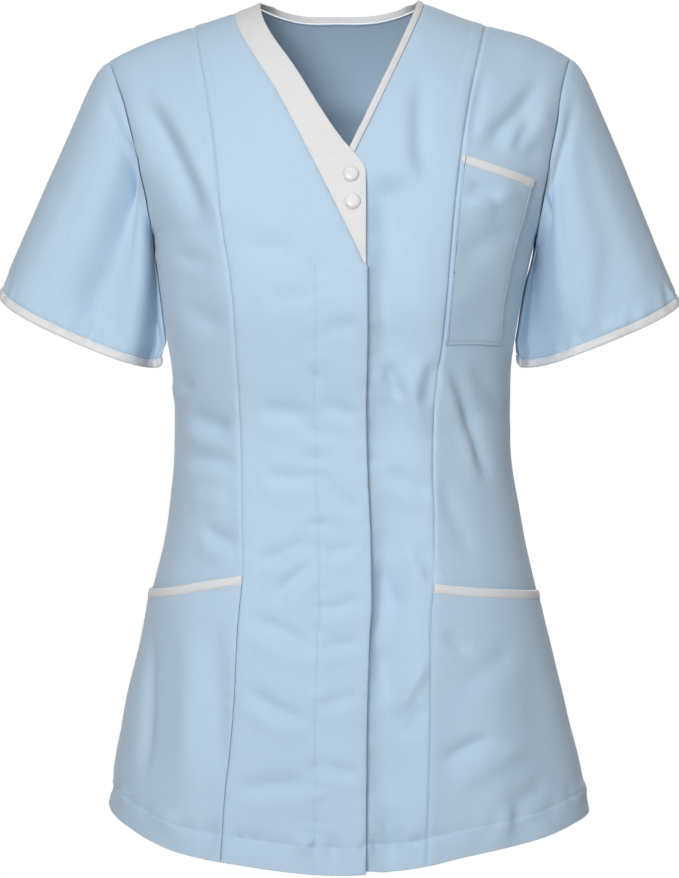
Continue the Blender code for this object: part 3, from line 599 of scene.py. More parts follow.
HAND_CREASES = {
    FRONT: creases(
        (-172, -77, -111, -207, -6, 11, -2.6), (-161, -71, -96, -201, -5, 9, 1.4),
        (-143, -214, -103, -226, 3, 8, -1), (-135, -256, -93, -282, 4, 9, -1.1),
        (-135, -315, -123, -333, 3, 5, -1.2, DRAG), (-134, -349, -88, -362, 3, 7, -1.4, DRAG),
        (-139, -387, -83, -393, -3, 7, -1.3, DRAG), (-118, -442, -81, -456, 3, 7, -1.5, DRAG),
        (-132, -421, -91, -421, 0, 9, 0.9), (-157.5, -515, -160, -655, 0.5, 3.5, -0.8, DRAG),
        (-125, -504, -124, -667, 0, 10, 1), (-161, -539, -162, -662, 1, 5, -0.7, DRAG),
        (-103, -511, -96, -658, 0, 8, -1.2), (-85, -215, -32, -218, -3, 8, -0.9),
        (-63, -257, -18, -251, 2, 9, -0.8), (-72, -349, -22, -354, -3, 8, -1.3, DRAG),
        (-68, -396, -21, -404, 3, 7, -1.2, DRAG), (-76, -475, -21, -450, 3, 7, -1.6, DRAG),
        (-55, -506, -19, -468, -2, 7, -1.4, DRAG), (-78, -517, -19, -545, -3, 8, -1.7, DRAG),
        (-80, -571, -21, -602, 4, 7, -1.6, DRAG), (-88, -658, -21, -652, -3, 8, -1.6, DRAG),
        (-18, -282, 20, -276, 1, 7, -0.8), (-18, -341, 21, -351, 2, 6, -0.9, DRAG),
        (-18, -400, 20, -432, 4, 7, -1.2, DRAG), (-18, -470, 18, -460, -2, 6, -1, DRAG),
        (-18, -512, 20, -499, 2, 6, -1.1, DRAG), (-18, -540, 20, -539, -1, 6, -1.3, DRAG),
        (-18, -587, 20, -576, 2, 6, -0.9, DRAG), (-18, -634, 20, -643, 2, 6, -1.1, DRAG),
        (74, -61, 74, -171, 8, 9, -1.9), (58, -74, 59, -168, 5, 10, 1), (124, -60, 107, -133, 2, 7, -1.4),
        (174, -64, 114, -135, -4, 9, -2.4), (180, -84, 137, -140, -4, 10, 1.4),
        (166, -99, 143, -137, 0, 6, -1.3, DRAG), (101, -167, 133, -176, -2, 6, -1.3, DRAG),
        (102, -186, 151, -168, -3, 8, 1), (97, -226, 151, -198, -4, 9, -0.9),
        (87, -303, 126, -413, -4, 6, -1.9, DRAG), (107, -306, 143, -364, -3, 8, -1.2),
        (82, -396, 116, -471, 4, 8, -0.9), (36, -209, 40, -282, 3, 9, -1.1),
        (40, -308, 53, -341, 2, 6, -1.9, DRAG), (56, -311, 71, -372, 3, 7, 1.4),
        (80, -303, 72, -347, 2, 6, -1.4, DRAG), (36, -396, 77, -421, -3, 7, -1.3, DRAG),
        (36, -470, 53, -512, 3, 8, -1.5), (61, -453, 77, -494, -3, 6, -1.3, DRAG),
        (40, -599, 72, -548, 2, 6, 1.7), (33, -535, 40, -584, 0, 8, -1.5),
        (53, -617, 69, -584, 1, 7, -1.2), (40, -665, 44, -714, 0, 7, -1.3),
        (82, -635, 127, -614, -2, 6, -1.5, DRAG), (87, -660, 158, -622, -4, 9, 1.3),
        (90, -576, 150, -538, 4, 10, -1), (86, -527, 107, -546, 2, 6, -1, DRAG),
        (132, -668, 174, -655, 2, 8, -1),
    ),
    BACK: creases(
        (172, -80, 110, -205, 6, 11, -2.4), (158, -74, 92, -200, 5, 10, 1.3),
        (-170, -78, -112, -196, -6, 11, -2.2), (-156, -70, -90, -178, -5, 10, 1.2),
        (-52, -90, 60, -94, -10, 14, -1.2), (-120, -150, -50, -205, 4, 12, -1),
        (120, -158, 54, -212, -4, 12, -1.1), (-140, -300, -86, -345, 4, 7, -1.5, DRAG),
        (138, -292, 88, -338, -4, 7, -1.4, DRAG), (-132, -352, -88, -376, 3, 6, -1.6, DRAG),
        (136, -360, 92, -386, -3, 6, -1.5, DRAG), (-70, -396, 12, -404, 4, 8, -1.4, DRAG),
        (66, -412, -22, -420, -4, 8, -1.3, DRAG), (-58, -436, 48, -440, 5, 9, -1.2),
        (-136, -404, -92, -424, 3, 7, -1.3, DRAG), (140, -410, 94, -436, -3, 7, -1.3, DRAG),
        (-150, -470, -96, -500, 4, 9, -1.2), (152, -466, 100, -504, -4, 9, -1.1),
        (-60, -500, -12, -540, 3, 9, -1.1), (64, -506, 16, -552, -3, 9, -1.2),
        (-92, -560, -100, -712, 3, 11, -1.5), (8, -570, 6, -722, 2, 13, 1.5),
        (98, -556, 108, -712, -3, 11, -1.5), (-166, -560, -178, -690, 2, 8, -1.4),
        (176, -556, 190, -694, -2, 8, -1.3), (-58, -238, -6, -250, 3, 10, -0.8),
        (10, -310, 62, -300, -3, 10, -0.9), (-150, -612, -118, -642, 3, 8, -1.1, DRAG),
        (154, -620, 122, -652, -3, 8, -1.1, DRAG),
    ),
}
SLEEVE_CREASES = {  # round the sleeve from the shoulder line, front first, and down it, in metres
    Side.RIGHT: creases(
        (108, -40, 95, 200, 2, 24, -25, SOFT, 0.25, 0.35), (22, 12, 125, 22, 2, 6, -4),
        (137, -30, 126, 200, 2, 12, 4.2), (52, 30, 50, 200, 2, 8, -1.8), (20, 30, 34, 160, 4, 13, -1.2),
        (88, 100, 104, 160, -3, 8, -1.6, DRAG), (112, 124, 132, 160, -3, 7, -1.5, DRAG),
        (310, 10, 292, 150, -4, 12, -2.2), (270, 6, 252, 130, -5, 10, -2.4, DRAG),
        (232, 30, 226, 150, 3, 12, 2), (340, 40, 326, 160, -3, 13, -1.3),
        (286, 110, 262, 160, 3, 8, -1.4, DRAG),
    ),
    Side.LEFT: creases(
        (116, -40, 122, 200, 2, 16, -9, SOFT, 0.25, 0.30), (22, 14, 130, 22, 2, 6, -4),
        (50, 8, 60, 150, 4, 12, -2), (82, 6, 104, 128, 5, 10, -2.6, DRAG),
        (106, 16, 122, 150, 2, 12, 2.4), (132, 34, 146, 150, 3, 10, -2), (22, 20, 30, 160, 4, 14, -1.4),
        (70, 96, 96, 160, -3, 8, -1.5, DRAG), (100, 118, 126, 160, -3, 7, -1.4, DRAG),
        (306, 12, 290, 150, -4, 12, -2), (266, 8, 246, 126, -5, 10, -2.4, DRAG),
        (236, 30, 230, 150, 3, 12, 2), (336, 44, 322, 160, -3, 13, -1.3),
        (282, 106, 258, 160, 3, 8, -1.4, DRAG),
    ),
}


@dataclass(frozen=True)
class Puckers:
    """The short uneven wrinkles that a line of sewing draws into the cloth beside it."""

    spacing: float
    length: float
    width: float
    height: float
    seed: int
    side: float = 0.0  # -1 to 1: how far the wrinkles lie to one side of the line

    PROBE = 0.004  # how far ahead and back the line's direction is read
    FIRST, NEXT = (0.3, 1.0), (0.55, 1.6)  # the ranges of each draw, as shares of the usual size
    TILT, REACH, BOW = (-0.45, 0.45), (0.55, 1.25), (-0.1, 0.1)
    HEIGHT, WIDTH = (0.35, 1.2), (0.7, 1.4)

    def along(self, line: Array) -> list[Crease]:
        """Wrinkles across a line of sewing.

        Args:
            line: points of the line, as x and z.

        Returns:
            One crease for each wrinkle.
        """
        draw = np.random.default_rng(self.seed)
        length = run_length(line)
        made, at = [], self.spacing * draw.uniform(*self.FIRST)
        while at < length[-1]:
            stops = at + self.PROBE * np.array([0, 1, -1])
            place, ahead, back = np.stack([np.interp(stops, length, line[:, k]) for k in (0, 1)], axis=1)
            along = ahead - back
            across = unit(np.array([along[1], -along[0]]))
            tilt = across + unit(along) * draw.uniform(*self.TILT)
            reach = self.length * draw.uniform(*self.REACH) / 2
            centre = place + across * self.side * reach
            ends = np.concatenate([centre - tilt * reach, centre + tilt * reach])
            height = self.height * draw.uniform(*self.HEIGHT) * draw.choice([-1.0, -1.0, 1.0])
            width = self.width * draw.uniform(*self.WIDTH)
            bow = draw.uniform(*self.BOW) * reach
            made.append(Crease(*ends, bow, width, height, SOFT, start=0.5, end=0.5))
            at += self.spacing * draw.uniform(*self.NEXT)
        return made


class Undulation:
    """Slow unevenness of the cloth, drawn once from a fixed seed."""

    GRID = 96

    def __init__(self, seed: int, sizes: tuple[float, ...], heights: tuple[float, ...]) -> None:
        """Draws the lattices.

        Args:
            seed: the seed of the draw.
            sizes: the lattice spacing of each layer, in metres.
            heights: the height of each layer, in metres.
        """
        draw = np.random.default_rng(seed)
        self.layers = [
            (size, height, draw.uniform(-1, 1, (self.GRID, self.GRID)), draw.uniform(0, math.pi / 2))
            for size, height in zip(sizes, heights)
        ]

    def at(self, x: Array, z: Array) -> Array:
        """The height at each place.

        Args:
            x: the places across.
            z: the heights of the places.

        Returns:
            The heights over the form.
        """
        total = np.zeros(np.broadcast(x, z).shape)
        for size, height, lattice, angle in self.layers:
            across = (x * math.cos(angle) + z * math.sin(angle)) / size + self.GRID / 2
            up = (z * math.cos(angle) - x * math.sin(angle)) / size + self.GRID / 2
            i, j = np.floor(across).astype(int), np.floor(up).astype(int)
            s, t = smooth_step(across - i), smooth_step(up - j)
            i, j = i % (self.GRID - 1), j % (self.GRID - 1)
            low = lattice[i, j] * (1 - s) + lattice[i + 1, j] * s
            high = lattice[i, j + 1] * (1 - s) + lattice[i + 1, j + 1] * s
            total += height * (low * (1 - t) + high * t)
        return total


class Relief:
    """Every height over the smooth form: folds, creases, puckers and unevenness."""

    CALM_ACROSS, CALM_UP = 0.05, 0.10  # it dies away this close to the side and shoulder seams
    HAND_GAIN = 2.4  # of the listed creases

    def __init__(self, form: BodyForm) -> None:
        """Gathers the creases of both halves.

        Args:
            form: the body's smooth form, along which the sewn lines run.
        """
        self.form = form
        self.undulation = Undulation(11, (0.085, 0.045, 0.024), (0.0011, 0.0006, 0.00028))
        self.creases = {half: list(FRAME_FOLDS[half]) for half in Half}
        for half, creases in HAND_CREASES.items():
            for crease in creases:
                self.creases[half].append(replace(crease, height=crease.height * self.HAND_GAIN))
        for half, line, puckers in self.sewn_lines():
            self.creases[half] += puckers.along(line)

    def sewn_lines(self) -> list[tuple[Half, Array, Puckers]]:
        """The lines of sewing that draw the cloth in.

        Returns:
            The half, the points and the puckers of each.
        """
        lines = []
        for table, top, low, shift, puckers in (
            (FRONT_EDGE, -0.215, -0.70, -FLY_WIDTH, Puckers(0.016, 0.034, 0.0042, 0.00170, 21)),
            (FRONT_EDGE, -0.160, -0.70, -0.006, Puckers(0.022, 0.026, 0.0050, 0.00150, 22, -0.6)),
            (PRINCESS_RIGHT, -0.06, -0.69, 0, Puckers(0.021, 0.026, 0.0045, 0.00060, 23)),
            (PRINCESS_LEFT, -0.06, -0.69, 0, Puckers(0.021, 0.026, 0.0045, 0.00060, 24)),
            (BAND_EDGE, -0.03, -0.22, -0.003, Puckers(0.024, 0.022, 0.0045, 0.00045, 25, -0.5)),
            (NECK_LINE_LEFT, -0.02, -0.13, 0.003, Puckers(0.018, 0.018, 0.0040, 0.00050, 26, 0.6)),
        ):
            z = np.linspace(top, low, 120)
            lines.append((FRONT, np.stack([through(table, "z", "x", z) + shift, z], axis=1), puckers))
        for half, seeds in ((FRONT, 31), (BACK, 41)):
            a = np.linspace(-0.97, 0.97, 300)
            hem = self.form.smooth(half, a, np.zeros_like(a))
            line = np.stack([hem[:, 0], hem[:, 2] + HEM_DEPTH], axis=1)
            lines.append((half, line, Puckers(0.0115, 0.026, 0.0038, 0.00240, seeds)))
            lines.append((half, line, Puckers(0.030, 0.050, 0.0080, 0.00250, seeds + 1, 0.2)))
        return lines

    def height(self, half: Half, x: Array, z: Array) -> Array:
        """The height over the smooth form at places seen from the front or the back.

        Args:
            half: the front or the back.
            x: the places across.
            z: the heights of the places.

        Returns:
            The heights over the form.
        """
        total = self.undulation.at(x + 3 * half, z)
        for crease in self.creases[half]:
            crease.add_to(total, x, z)
        return total

    def cloth(self, half: Half, a: Array, v: Array, lift: Array | float = 0.0) -> Array:
        """Points of the worn cloth's outer face.

        Args:
            half: the front or the back.
            a: the places across.
            v: the places up.
            lift: how far outside the outer face each point lies.

        Returns:
            The points.
        """
        base = self.form.smooth(half, a, v)
        height = self.height(half, base[..., 0], base[..., 2])
        side = smooth_step((1 - np.abs(a)) / self.CALM_ACROSS)
        calm = side * smooth_step((2 - np.asarray(v)) / self.CALM_UP)
        return base + self.form.normal(half, a, v) * (height * calm + lift)[..., None]


# ---------------------------------------------------------------- finishes


class NodeBoard:
    """A node tree, filled one node at a time."""

    def __init__(self, tree: bpy.types.NodeTree) -> None:
        """Takes the tree to fill.

        Args:
            tree: the tree.
        """
        self.tree = tree

    def fill(self, socket: Socket, value: object) -> None:
        """Sets an input socket.

        Args:
            socket: the input.
            value: a value, or the output socket to link to it.
        """
        if isinstance(value, Socket):
            self.tree.links.new(value, socket)
        else:
            socket.default_value = value

    def add(self, kind: str, inputs: dict | None = None, **settings: object) -> bpy.types.Node:
        """Adds a node.

        Args:
            kind: Blender's name of the node type.
            inputs: values or output sockets, by input name or number.
            settings: the node's own properties.

        Returns:
            The node.
        """
        made = self.tree.nodes.new(kind)
        for key, value in settings.items():
            setattr(made, key, value)
        for key, value in (inputs or {}).items():
            self.fill(made.inputs[key], value)
        return made

    def math(self, operation: str, first: object, second: object) -> Socket:
        """The output of a sum on two values or sockets."""
        return self.add("ShaderNodeMath", {0: first, 1: second}, operation=operation).outputs[0]

    def blend(self, share: Socket, dark: tuple, light: tuple) -> Socket:
        """The output of a mix of two colours."""
        inputs = {0: share, 6: (*dark, 1.0), 7: (*light, 1.0)}  # the factor and the two colour sockets
        return self.add("ShaderNodeMix", inputs, data_type="RGBA").outputs[2]

    def bump(self, height: object, depth: float, **before: object) -> Socket:
        """The output of a bump, on top of another where Normal is given."""
        return self.add("ShaderNodeBump", {"Height": height, "Distance": depth, **before}).outputs[0]


class MaterialBoard(NodeBoard):
    """The node tree of a new material."""

    def __init__(self, name: str) -> None:
        """Starts the material.

        Args:
            name: the material's name.
        """
        self.material = bpy.data.materials.new(name)
        self.material.use_nodes = True
        super().__init__(self.material.node_tree)

    def set(self, **values: object) -> None:
        """Sets the shader's sockets, named with _ for spaces, to values or output sockets."""
        for key, value in values.items():
            self.fill(self.tree.nodes["Principled BSDF"].inputs[key.replace("_", " ")], value)


@dataclass(frozen=True)
class ClothFinish:
    """A plain-woven cloth: two close colours, its thread pitch and how it takes light."""

    name: str
    light: tuple[float, float, float]
    dark: tuple[float, float, float]
    pitch: float = 0.00056
    weave_depth: float = 0.00007
    slub_depth: float = 0.00010
    crumple_depth: float = 0.00045
    roughness: float = 0.86
    sheen: float = 0.30

    WAVE = 0.314  # a wave texture's period at scale 1
    SLUB = (420.0, 22.0, 1.0)  # how a slub's noise is stretched along one thread
    MOTTLE = {"Scale": 16.0, "Detail": 4.0, "Roughness": 0.6}
    CRUMPLE = {"Scale": 70.0, "Detail": 3.0, "Roughness": 0.5}

    @lru_cache(maxsize=None)
    def material(self) -> bpy.types.Material:
        """The cloth's material, made once.

        Returns:
            The material.
        """
        board = MaterialBoard(self.name)
        thread_place = board.add("ShaderNodeUVMap", uv_map=UV_NAME).outputs["UV"]
        place = board.add("ShaderNodeTexCoord").outputs["Object"]
        waves = []
        for direction in "XY":
            wave = board.add(
                "ShaderNodeTexWave",
                {"Vector": thread_place, "Scale": self.WAVE / self.pitch, "Distortion": 0.5, "Detail": 1.0},
                bands_direction=direction,
            )
            waves.append(board.math("SUBTRACT", wave.outputs["Fac"], 0.5))
        weave = board.math("MULTIPLY", *waves)
        slubs = []
        for stretch in (self.SLUB, self.SLUB[1::-1] + self.SLUB[2:]):
            turned = board.add("ShaderNodeMapping", {"Vector": thread_place, "Scale": stretch})
            noise = {"Vector": turned.outputs[0], "Scale": 1.0, "Detail": 2.0}
            slubs.append(board.add("ShaderNodeTexNoise", noise).outputs["Fac"])
        slub = board.math("ADD", *slubs)
        mottle = board.add("ShaderNodeTexNoise", {"Vector": place, **self.MOTTLE})
        crumple = board.add("ShaderNodeTexNoise", {"Vector": place, **self.CRUMPLE})
        mixed = board.math("ADD", mottle.outputs["Fac"], slub)
        share = board.add("ShaderNodeMapRange", {0: mixed, "From Min": 1.05, "From Max": 1.95})
        normal = board.bump(crumple.outputs["Fac"], self.crumple_depth)
        for height, depth in ((slub, self.slub_depth), (weave, self.weave_depth)):
            normal = board.bump(height, depth, Normal=normal)
        board.set(
            Base_Color=board.blend(share.outputs[0], self.dark, self.light), Normal=normal,
            Roughness=self.roughness, Sheen_Weight=self.sheen, Sheen_Roughness=0.5, Specular_IOR_Level=0.25,
        )
        return board.material


@dataclass(frozen=True)
class SmoothFinish:
    """A moulded, spun or painted surface with a faint unevenness."""

    name: str
    light: tuple[float, float, float]
    dark: tuple[float, float, float]
    roughness: float
    grain: float
    depth: float
    coat: float = 0.0

    @lru_cache(maxsize=None)
    def material(self) -> bpy.types.Material:
        """The surface's material, made once.

        Returns:
            The material.
        """
        board = MaterialBoard(self.name)
        place = board.add("ShaderNodeTexCoord").outputs["Object"]
        noise = board.add("ShaderNodeTexNoise", {"Vector": place, "Scale": self.grain, "Detail": 3.0})
        board.set(
            Base_Color=board.blend(noise.outputs["Fac"], self.dark, self.light),
            Normal=board.bump(noise.outputs["Fac"], self.depth), Roughness=self.roughness,
            Coat_Weight=self.coat, Coat_Roughness=0.25,
        )
        return board.material


UV_NAME = "cloth"
BLUE_CLOTH = ClothFinish("pale_blue_polycotton", (0.478, 0.624, 0.762), (0.456, 0.602, 0.742))
WHITE_CLOTH = ClothFinish("white_polycotton", (0.745, 0.750, 0.755), (0.700, 0.706, 0.714), pitch=0.00050)
BLUE_THREAD = SmoothFinish("pale_blue_thread", (0.50, 0.64, 0.76), (0.40, 0.54, 0.67), 0.6, 900.0, 0.00003)
WHITE_THREAD = SmoothFinish("white_thread", (0.76, 0.76, 0.76), (0.66, 0.665, 0.67), 0.6, 900.0, 0.00003)
CAP_FINISH = SmoothFinish(
    "white_moulded_cap", (0.76, 0.76, 0.745), (0.72, 0.72, 0.705), 0.32, 240.0, 0.00002, coat=0.3
)
FLOOR_FINISH = SmoothFinish("pale_floor", (0.90, 0.90, 0.90), (0.88, 0.88, 0.88), 0.7, 3.0, 0.0005)

# ---------------------------------------------------------------- shells


@dataclass
class Shell:
    """A closed thin wall between two grids of points, its rim rounded over.

    The first index of a grid is the row and the second the column; a tube joins its last column to
    its first.
    """

    outer: Array
    inner: Array
    tube: bool = False
    round_rim: float = 0.45  # how far the rim stands out, in thicknesses

    def rims(self) -> list[tuple[Array, Array]]:
        """The closed rims.

        Returns:
            Each one's rows and columns.
        """
        rows, columns = self.outer.shape[:2]
        if self.tube:
            around = np.arange(columns)
            return [(np.zeros(columns, int), around), (np.full(columns, rows - 1), around)]
        along, up = np.arange(columns), np.arange(rows)
        row = np.concatenate([0 * along, up[1:], 0 * along[1:] + rows - 1, up[-2:0:-1]])
        column = np.concatenate([along, 0 * up[1:] + columns - 1, along[-2::-1], 0 * up[-2:0:-1]])
        return [(row, column)]

    def points_and_faces(self) -> tuple[Array, Array, Array]:
        """The closed wall.

        Returns:
            Its points, its faces, and each point's place in the cloth in metres.
        """
        rows, columns = self.outer.shape[:2]
        cells = rows * columns
        index = np.arange(cells).reshape(rows, columns)
        after = np.roll(index, -1, axis=1) if self.tube else index[:, 1:]
        before = index if self.tube else index[:, :-1]
        quads = np.stack([before[:-1], after[:-1], after[1:], before[1:]], axis=-1).reshape(-1, 4)
        faces = [quads, quads[:, ::-1] + cells]
        points = [self.outer.reshape(-1, 3), self.inner.reshape(-1, 3)]
        place = np.stack([run_length(self.outer, axis=1), run_length(self.outer, axis=0)], axis=-1)
        places = [place.reshape(-1, 2)] * 2
        total = 2 * cells
        for row, column in self.rims():
            inside_row = np.clip(row, 1, rows - 2)
            inside_column = column if self.tube else np.clip(column, 1, columns - 2)
            middle = (self.outer[row, column] + self.inner[row, column]) / 2
            wall = self.outer[row, column] - self.inner[row, column]
            thick = np.linalg.norm(wall, axis=-1, keepdims=True)
            away = unit(self.outer[row, column] - self.outer[inside_row, inside_column])
            points.append(middle + away * thick * self.round_rim)
            places.append(place[row, column])
            rim, edge = total + np.arange(len(row)), index[row, column]
            rim_next, edge_next = np.roll(rim, -1), np.roll(edge, -1)
            upward = self.tube and row[0] > 0
            for strip in (
                np.stack([edge_next, edge, rim, rim_next], axis=-1),
                np.stack([rim_next, rim, edge + cells, edge_next + cells], axis=-1),
            ):
                faces.append(strip[:, ::-1] if upward else strip)
            total += len(row)
        return np.concatenate(points), np.concatenate(faces), np.concatenate(places)


def make_mesh_object(
    name: str, points: Array, faces: Array, material: bpy.types.Material,
    places: Array | None = None,
) -> Piece:
    """A smooth-shaded object from points and four-sided faces, turned to face outwards.

    Args:
        name: the object's name.
        points: the points, one to a row.
        faces: four point numbers to a row.
        material: its material.
        places: each point's place in the cloth, for the weave.

    Returns:
        The object.
    """
    corner = points[faces]
    volume = 0.0
    for i, j, k in ((0, 1, 2), (0, 2, 3)):
        volume += float(np.einsum("ij,ij->", corner[:, i], np.cross(corner[:, j], corner[:, k])))
    if volume < 0:
        faces = faces[:, ::-1]
    mesh = bpy.data.meshes.new(name)
    mesh.vertices.add(len(points))
    mesh.vertices.foreach_set("co", points.ravel())
    mesh.loops.add(faces.size)
    mesh.loops.foreach_set("vertex_index", faces.ravel())
    mesh.polygons.add(len(faces))
    mesh.polygons.foreach_set("loop_start", np.arange(len(faces)) * 4)
    if places is not None:
        mesh.uv_layers.new(name=UV_NAME).data.foreach_set("uv", places[faces.ravel()].ravel())
    mesh.update(calc_edges=True)
    mesh.shade_smooth()
    mesh.materials.append(material)
    made = bpy.data.objects.new(name, mesh)
    bpy.context.scene.collection.objects.link(made)
    return made


def report(piece: Piece, slot: Slot, *nodes: str) -> Piece:
    """Rides a piece on the top, hides the frame's nodes that it stands for, and logs it.

    Args:
        piece: the piece.
        slot: not used.
        nodes: the nodes that it replaces.

    Returns:
        The piece.
    """
    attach(piece, "root")
    if nodes:
        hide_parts(*nodes)
    log.info("%s: %d faces", piece.name, len(piece.data.polygons))
    return piece


def spaced(length: float, cell: float, marks: tuple[float, ...] = ()) -> Array:
    """Stations along a length, closer together by both ends and round each mark.

    Args:
        length: the length.
        cell: the usual distance between stations.
        marks: the places of lines of stitches.

    Returns:
        The stations, from 0 to the length.
    """
    edges = np.array(EDGE_STEPS)
    blocks = [edges]
    blocks += [mark + np.array(GROOVE_STEPS) for mark in sorted(marks)]
    blocks.append(length - edges[::-1])
    stations = [blocks[0]]
    for before, after in zip(blocks[:-1], blocks[1:]):
        count = max(2, round((after[0] - before[-1]) / cell) + 1)
        stations += [np.linspace(before[-1], after[0], count)[1:-1], after]
    return np.concatenate(stations)


@dataclass
class Tailor:
    """Cuts cloth pieces from the form and dresses them."""

    form: BodyForm
    relief: Relief
    cell: float = 0.0026  # the size of a shell's faces

    def rows(self, cell: float | None = None, extra: tuple[float, ...] = ()) -> Array:
        """The rows of a panel from the hem to the shoulder seam.

        Args:
            cell: the height of a row, or the tailor's own.
            extra: rows to add, as v.

        Returns:
            The rows as v.
        """
        cell = cell or self.cell
        low = spaced(PANEL_HEIGHT, cell, marks=(HEM_DEPTH,)) / PANEL_HEIGHT
        up = 1 + np.linspace(0, 1, round(ARCH_LENGTH / cell) + 1) ** ARMHOLE_ROW_BIAS
        top = 2 - np.array(EDGE_STEPS[1:]) / SHOULDER_RATE
        return np.unique(np.concatenate([low[low < 1], up, top, extra]).round(6))

    def columns(
        self, half: Half, start: Array, end: Array, v: Array,
        mark: float | None = None,
    ) -> tuple[Array, Array, Array]:
        """Evenly spaced columns between two edges, closer together along both and by a line of stitches.

        Args:
            half: the front or the back.
            start: the a of the first edge on each row.
            end: the a of the last edge on each row.
            v: the rows.
            mark: the distance of the stitches from the last edge, where there are any.

        Returns:
            The grid's a, and each point's distance from the first and the last edge in metres.
        """
        fine = start[:, None] + (end - start)[:, None] * np.linspace(0, 1, 60)
        length = run_length(self.form.smooth(half, fine, v[:, None]), axis=1)
        whole = length[:, -1]
        typical = float(np.percentile(whole, 80))
        marks = () if mark is None else (typical - mark,)
        stations = spaced(typical, self.cell, marks)
        edge, reach = EDGE_STEPS[-1], GROOVE_STEPS[-1]
        a, at = [], []
        for row, total in enumerate(whole):
            scale = min(1.0, total / (2 * (mark or 3 * edge)))
            own, common = [0.0, edge * scale], [0.0, edge]
            if mark is not None:
                own += [total + (-mark - reach) * scale, total + (-mark + reach) * scale]
                common += [typical - mark - reach, typical - mark + reach]
            own += [total - edge * scale, total]
            common += [typical - edge, typical]
            at.append(np.interp(stations, common, own))
            a.append(np.interp(at[-1], length[row], fine[row]))
        near = np.array(at)
        return np.array(a), near, whole[:, None] - near

    def shell(
        self, half: Half, a: Array, v: Array, lift: Array | float = 0.0,
        thick: Array | float = CLOTH,
    ) -> Shell:
        """A shell of cloth on the form.

        Args:
            half: the front or the back.
            a: the grid's places across.
            v: the grid's places up.
            lift: how far outside the cloth's outer face it lies.
            thick: its thickness.

        Returns:
            The shell.
        """
        a, v = np.broadcast_arrays(a, v)
        lift = np.broadcast_to(lift, a.shape)
        outer = self.relief.cloth(half, a, v, lift)
        inner = outer - self.form.normal(half, a, v) * np.broadcast_to(thick, a.shape)[..., None]
        for points in (outer, inner):
            points[..., 1] = half * np.maximum(half * points[..., 1], SEAM_GAP / 2)
        return Shell(outer, inner)

    def dress(
        self, name: str, shell: Shell, finish: ClothFinish, slot: Slot, held: str, rests_on: tuple[str, ...]
    ) -> Piece:
        """Makes a shell into a piece of the top that stands for the node of its name.

        Args:
            name: the node's name, which the piece takes with _cloth after it.
            shell: its form.
            finish: its cloth.
            slot: its material slot.
            held: not used.
            rests_on: not used.

        Returns:
            The piece.
        """
        points, faces, places = shell.points_and_faces()
        piece = make_mesh_object(f"{name}_cloth", points, faces, finish.material(), places)
        report(piece, slot, name)
        return piece


def princess_dip(distance: Array, z: Array) -> Array:
    """The roll into a princess seam, softer where the hip pockets are sewn in."""
    return seam_dip(distance) * (HIP_ROLL + (CHEST_ROLL - HIP_ROLL) * smooth_step((z + 0.50) / 0.16))


def seam_dip(distance: Array) -> Array:
    """How a sewn edge rolls down into its seam, by the distance from it."""
    return -SEAM_DEPTH * bell(distance, SEAM_ROLL)


def shoulder_dip(v: Array) -> Array:
    """The roll of the cloth into the shoulder seam."""
    return seam_dip((2 - v) * SHOULDER_RATE)


def pocket_tuck(distance: Array) -> Array:
    """How a hip pocket and its panel sink together into the side seam, by the distance from it."""
    return -POCKET_TUCK * (1 - smooth_step(distance / POCKET_EASE))


def allowance_ridge(distance: Array) -> Array:
    """The faint ridge over a seam allowance pressed to this side, by the distance from the seam."""
    return ALLOWANCE_RISE * (smooth_step(distance / 0.002) - smooth_step((distance - ALLOWANCE) / 0.003))


def side_fall(near: Array, far: Array, top: Array | float = 1.0) -> Array:
    """How a side front turns away from its princess seam.

    Args:
        near: distances from that seam.
        far: distances from its far edge.
        top: distances from the shoulder seam.

    Returns:
        The extra height.
    """
    away = (1 - np.exp(-near / FALL_START)) * bell(near, FALL_REACH)
    return -SIDE_FALL * away * smooth_step(far / FALL_SIDE) * smooth_step(top / FALL_TOP)


def stitched_groove(distance: Array) -> Array:
    """How a row of stitches presses the cloth down, by the distance from it."""
    return -GROOVE_DEPTH * bell(distance, GROOVE_WIDTH)


def hem_lift(height: Array) -> Array:
    """The turned-up hem: thicker below its stitches, by the height over the edge in metres."""
    return HEM_RISE * (1 - smooth_step((height - HEM_DEPTH) / 0.0015)) + stitched_groove(height - HEM_DEPTH)


def height_over_hem(shell_v: Array) -> Array:
    """Metres over the hem's edge, near the hem, for the rows v."""
    return shell_v * PANEL_HEIGHT


def tape_round(share: Array) -> Array:
    """The rounded section of a folded tape, by the share across it."""
    return np.sqrt(np.clip(1 - np.abs(2 * share - 1) ** 5, 0, 1))


# ---------------------------------------------------------------- the body's panels


def hidden_rise(v: Array, share: Array) -> Array:
    """The rows with their hem raised by the share of a layer that another one hides."""
    return v + np.where(v < 1, (1 - v) * UNDERLAP_RISE / PANEL_HEIGHT * share, 0)


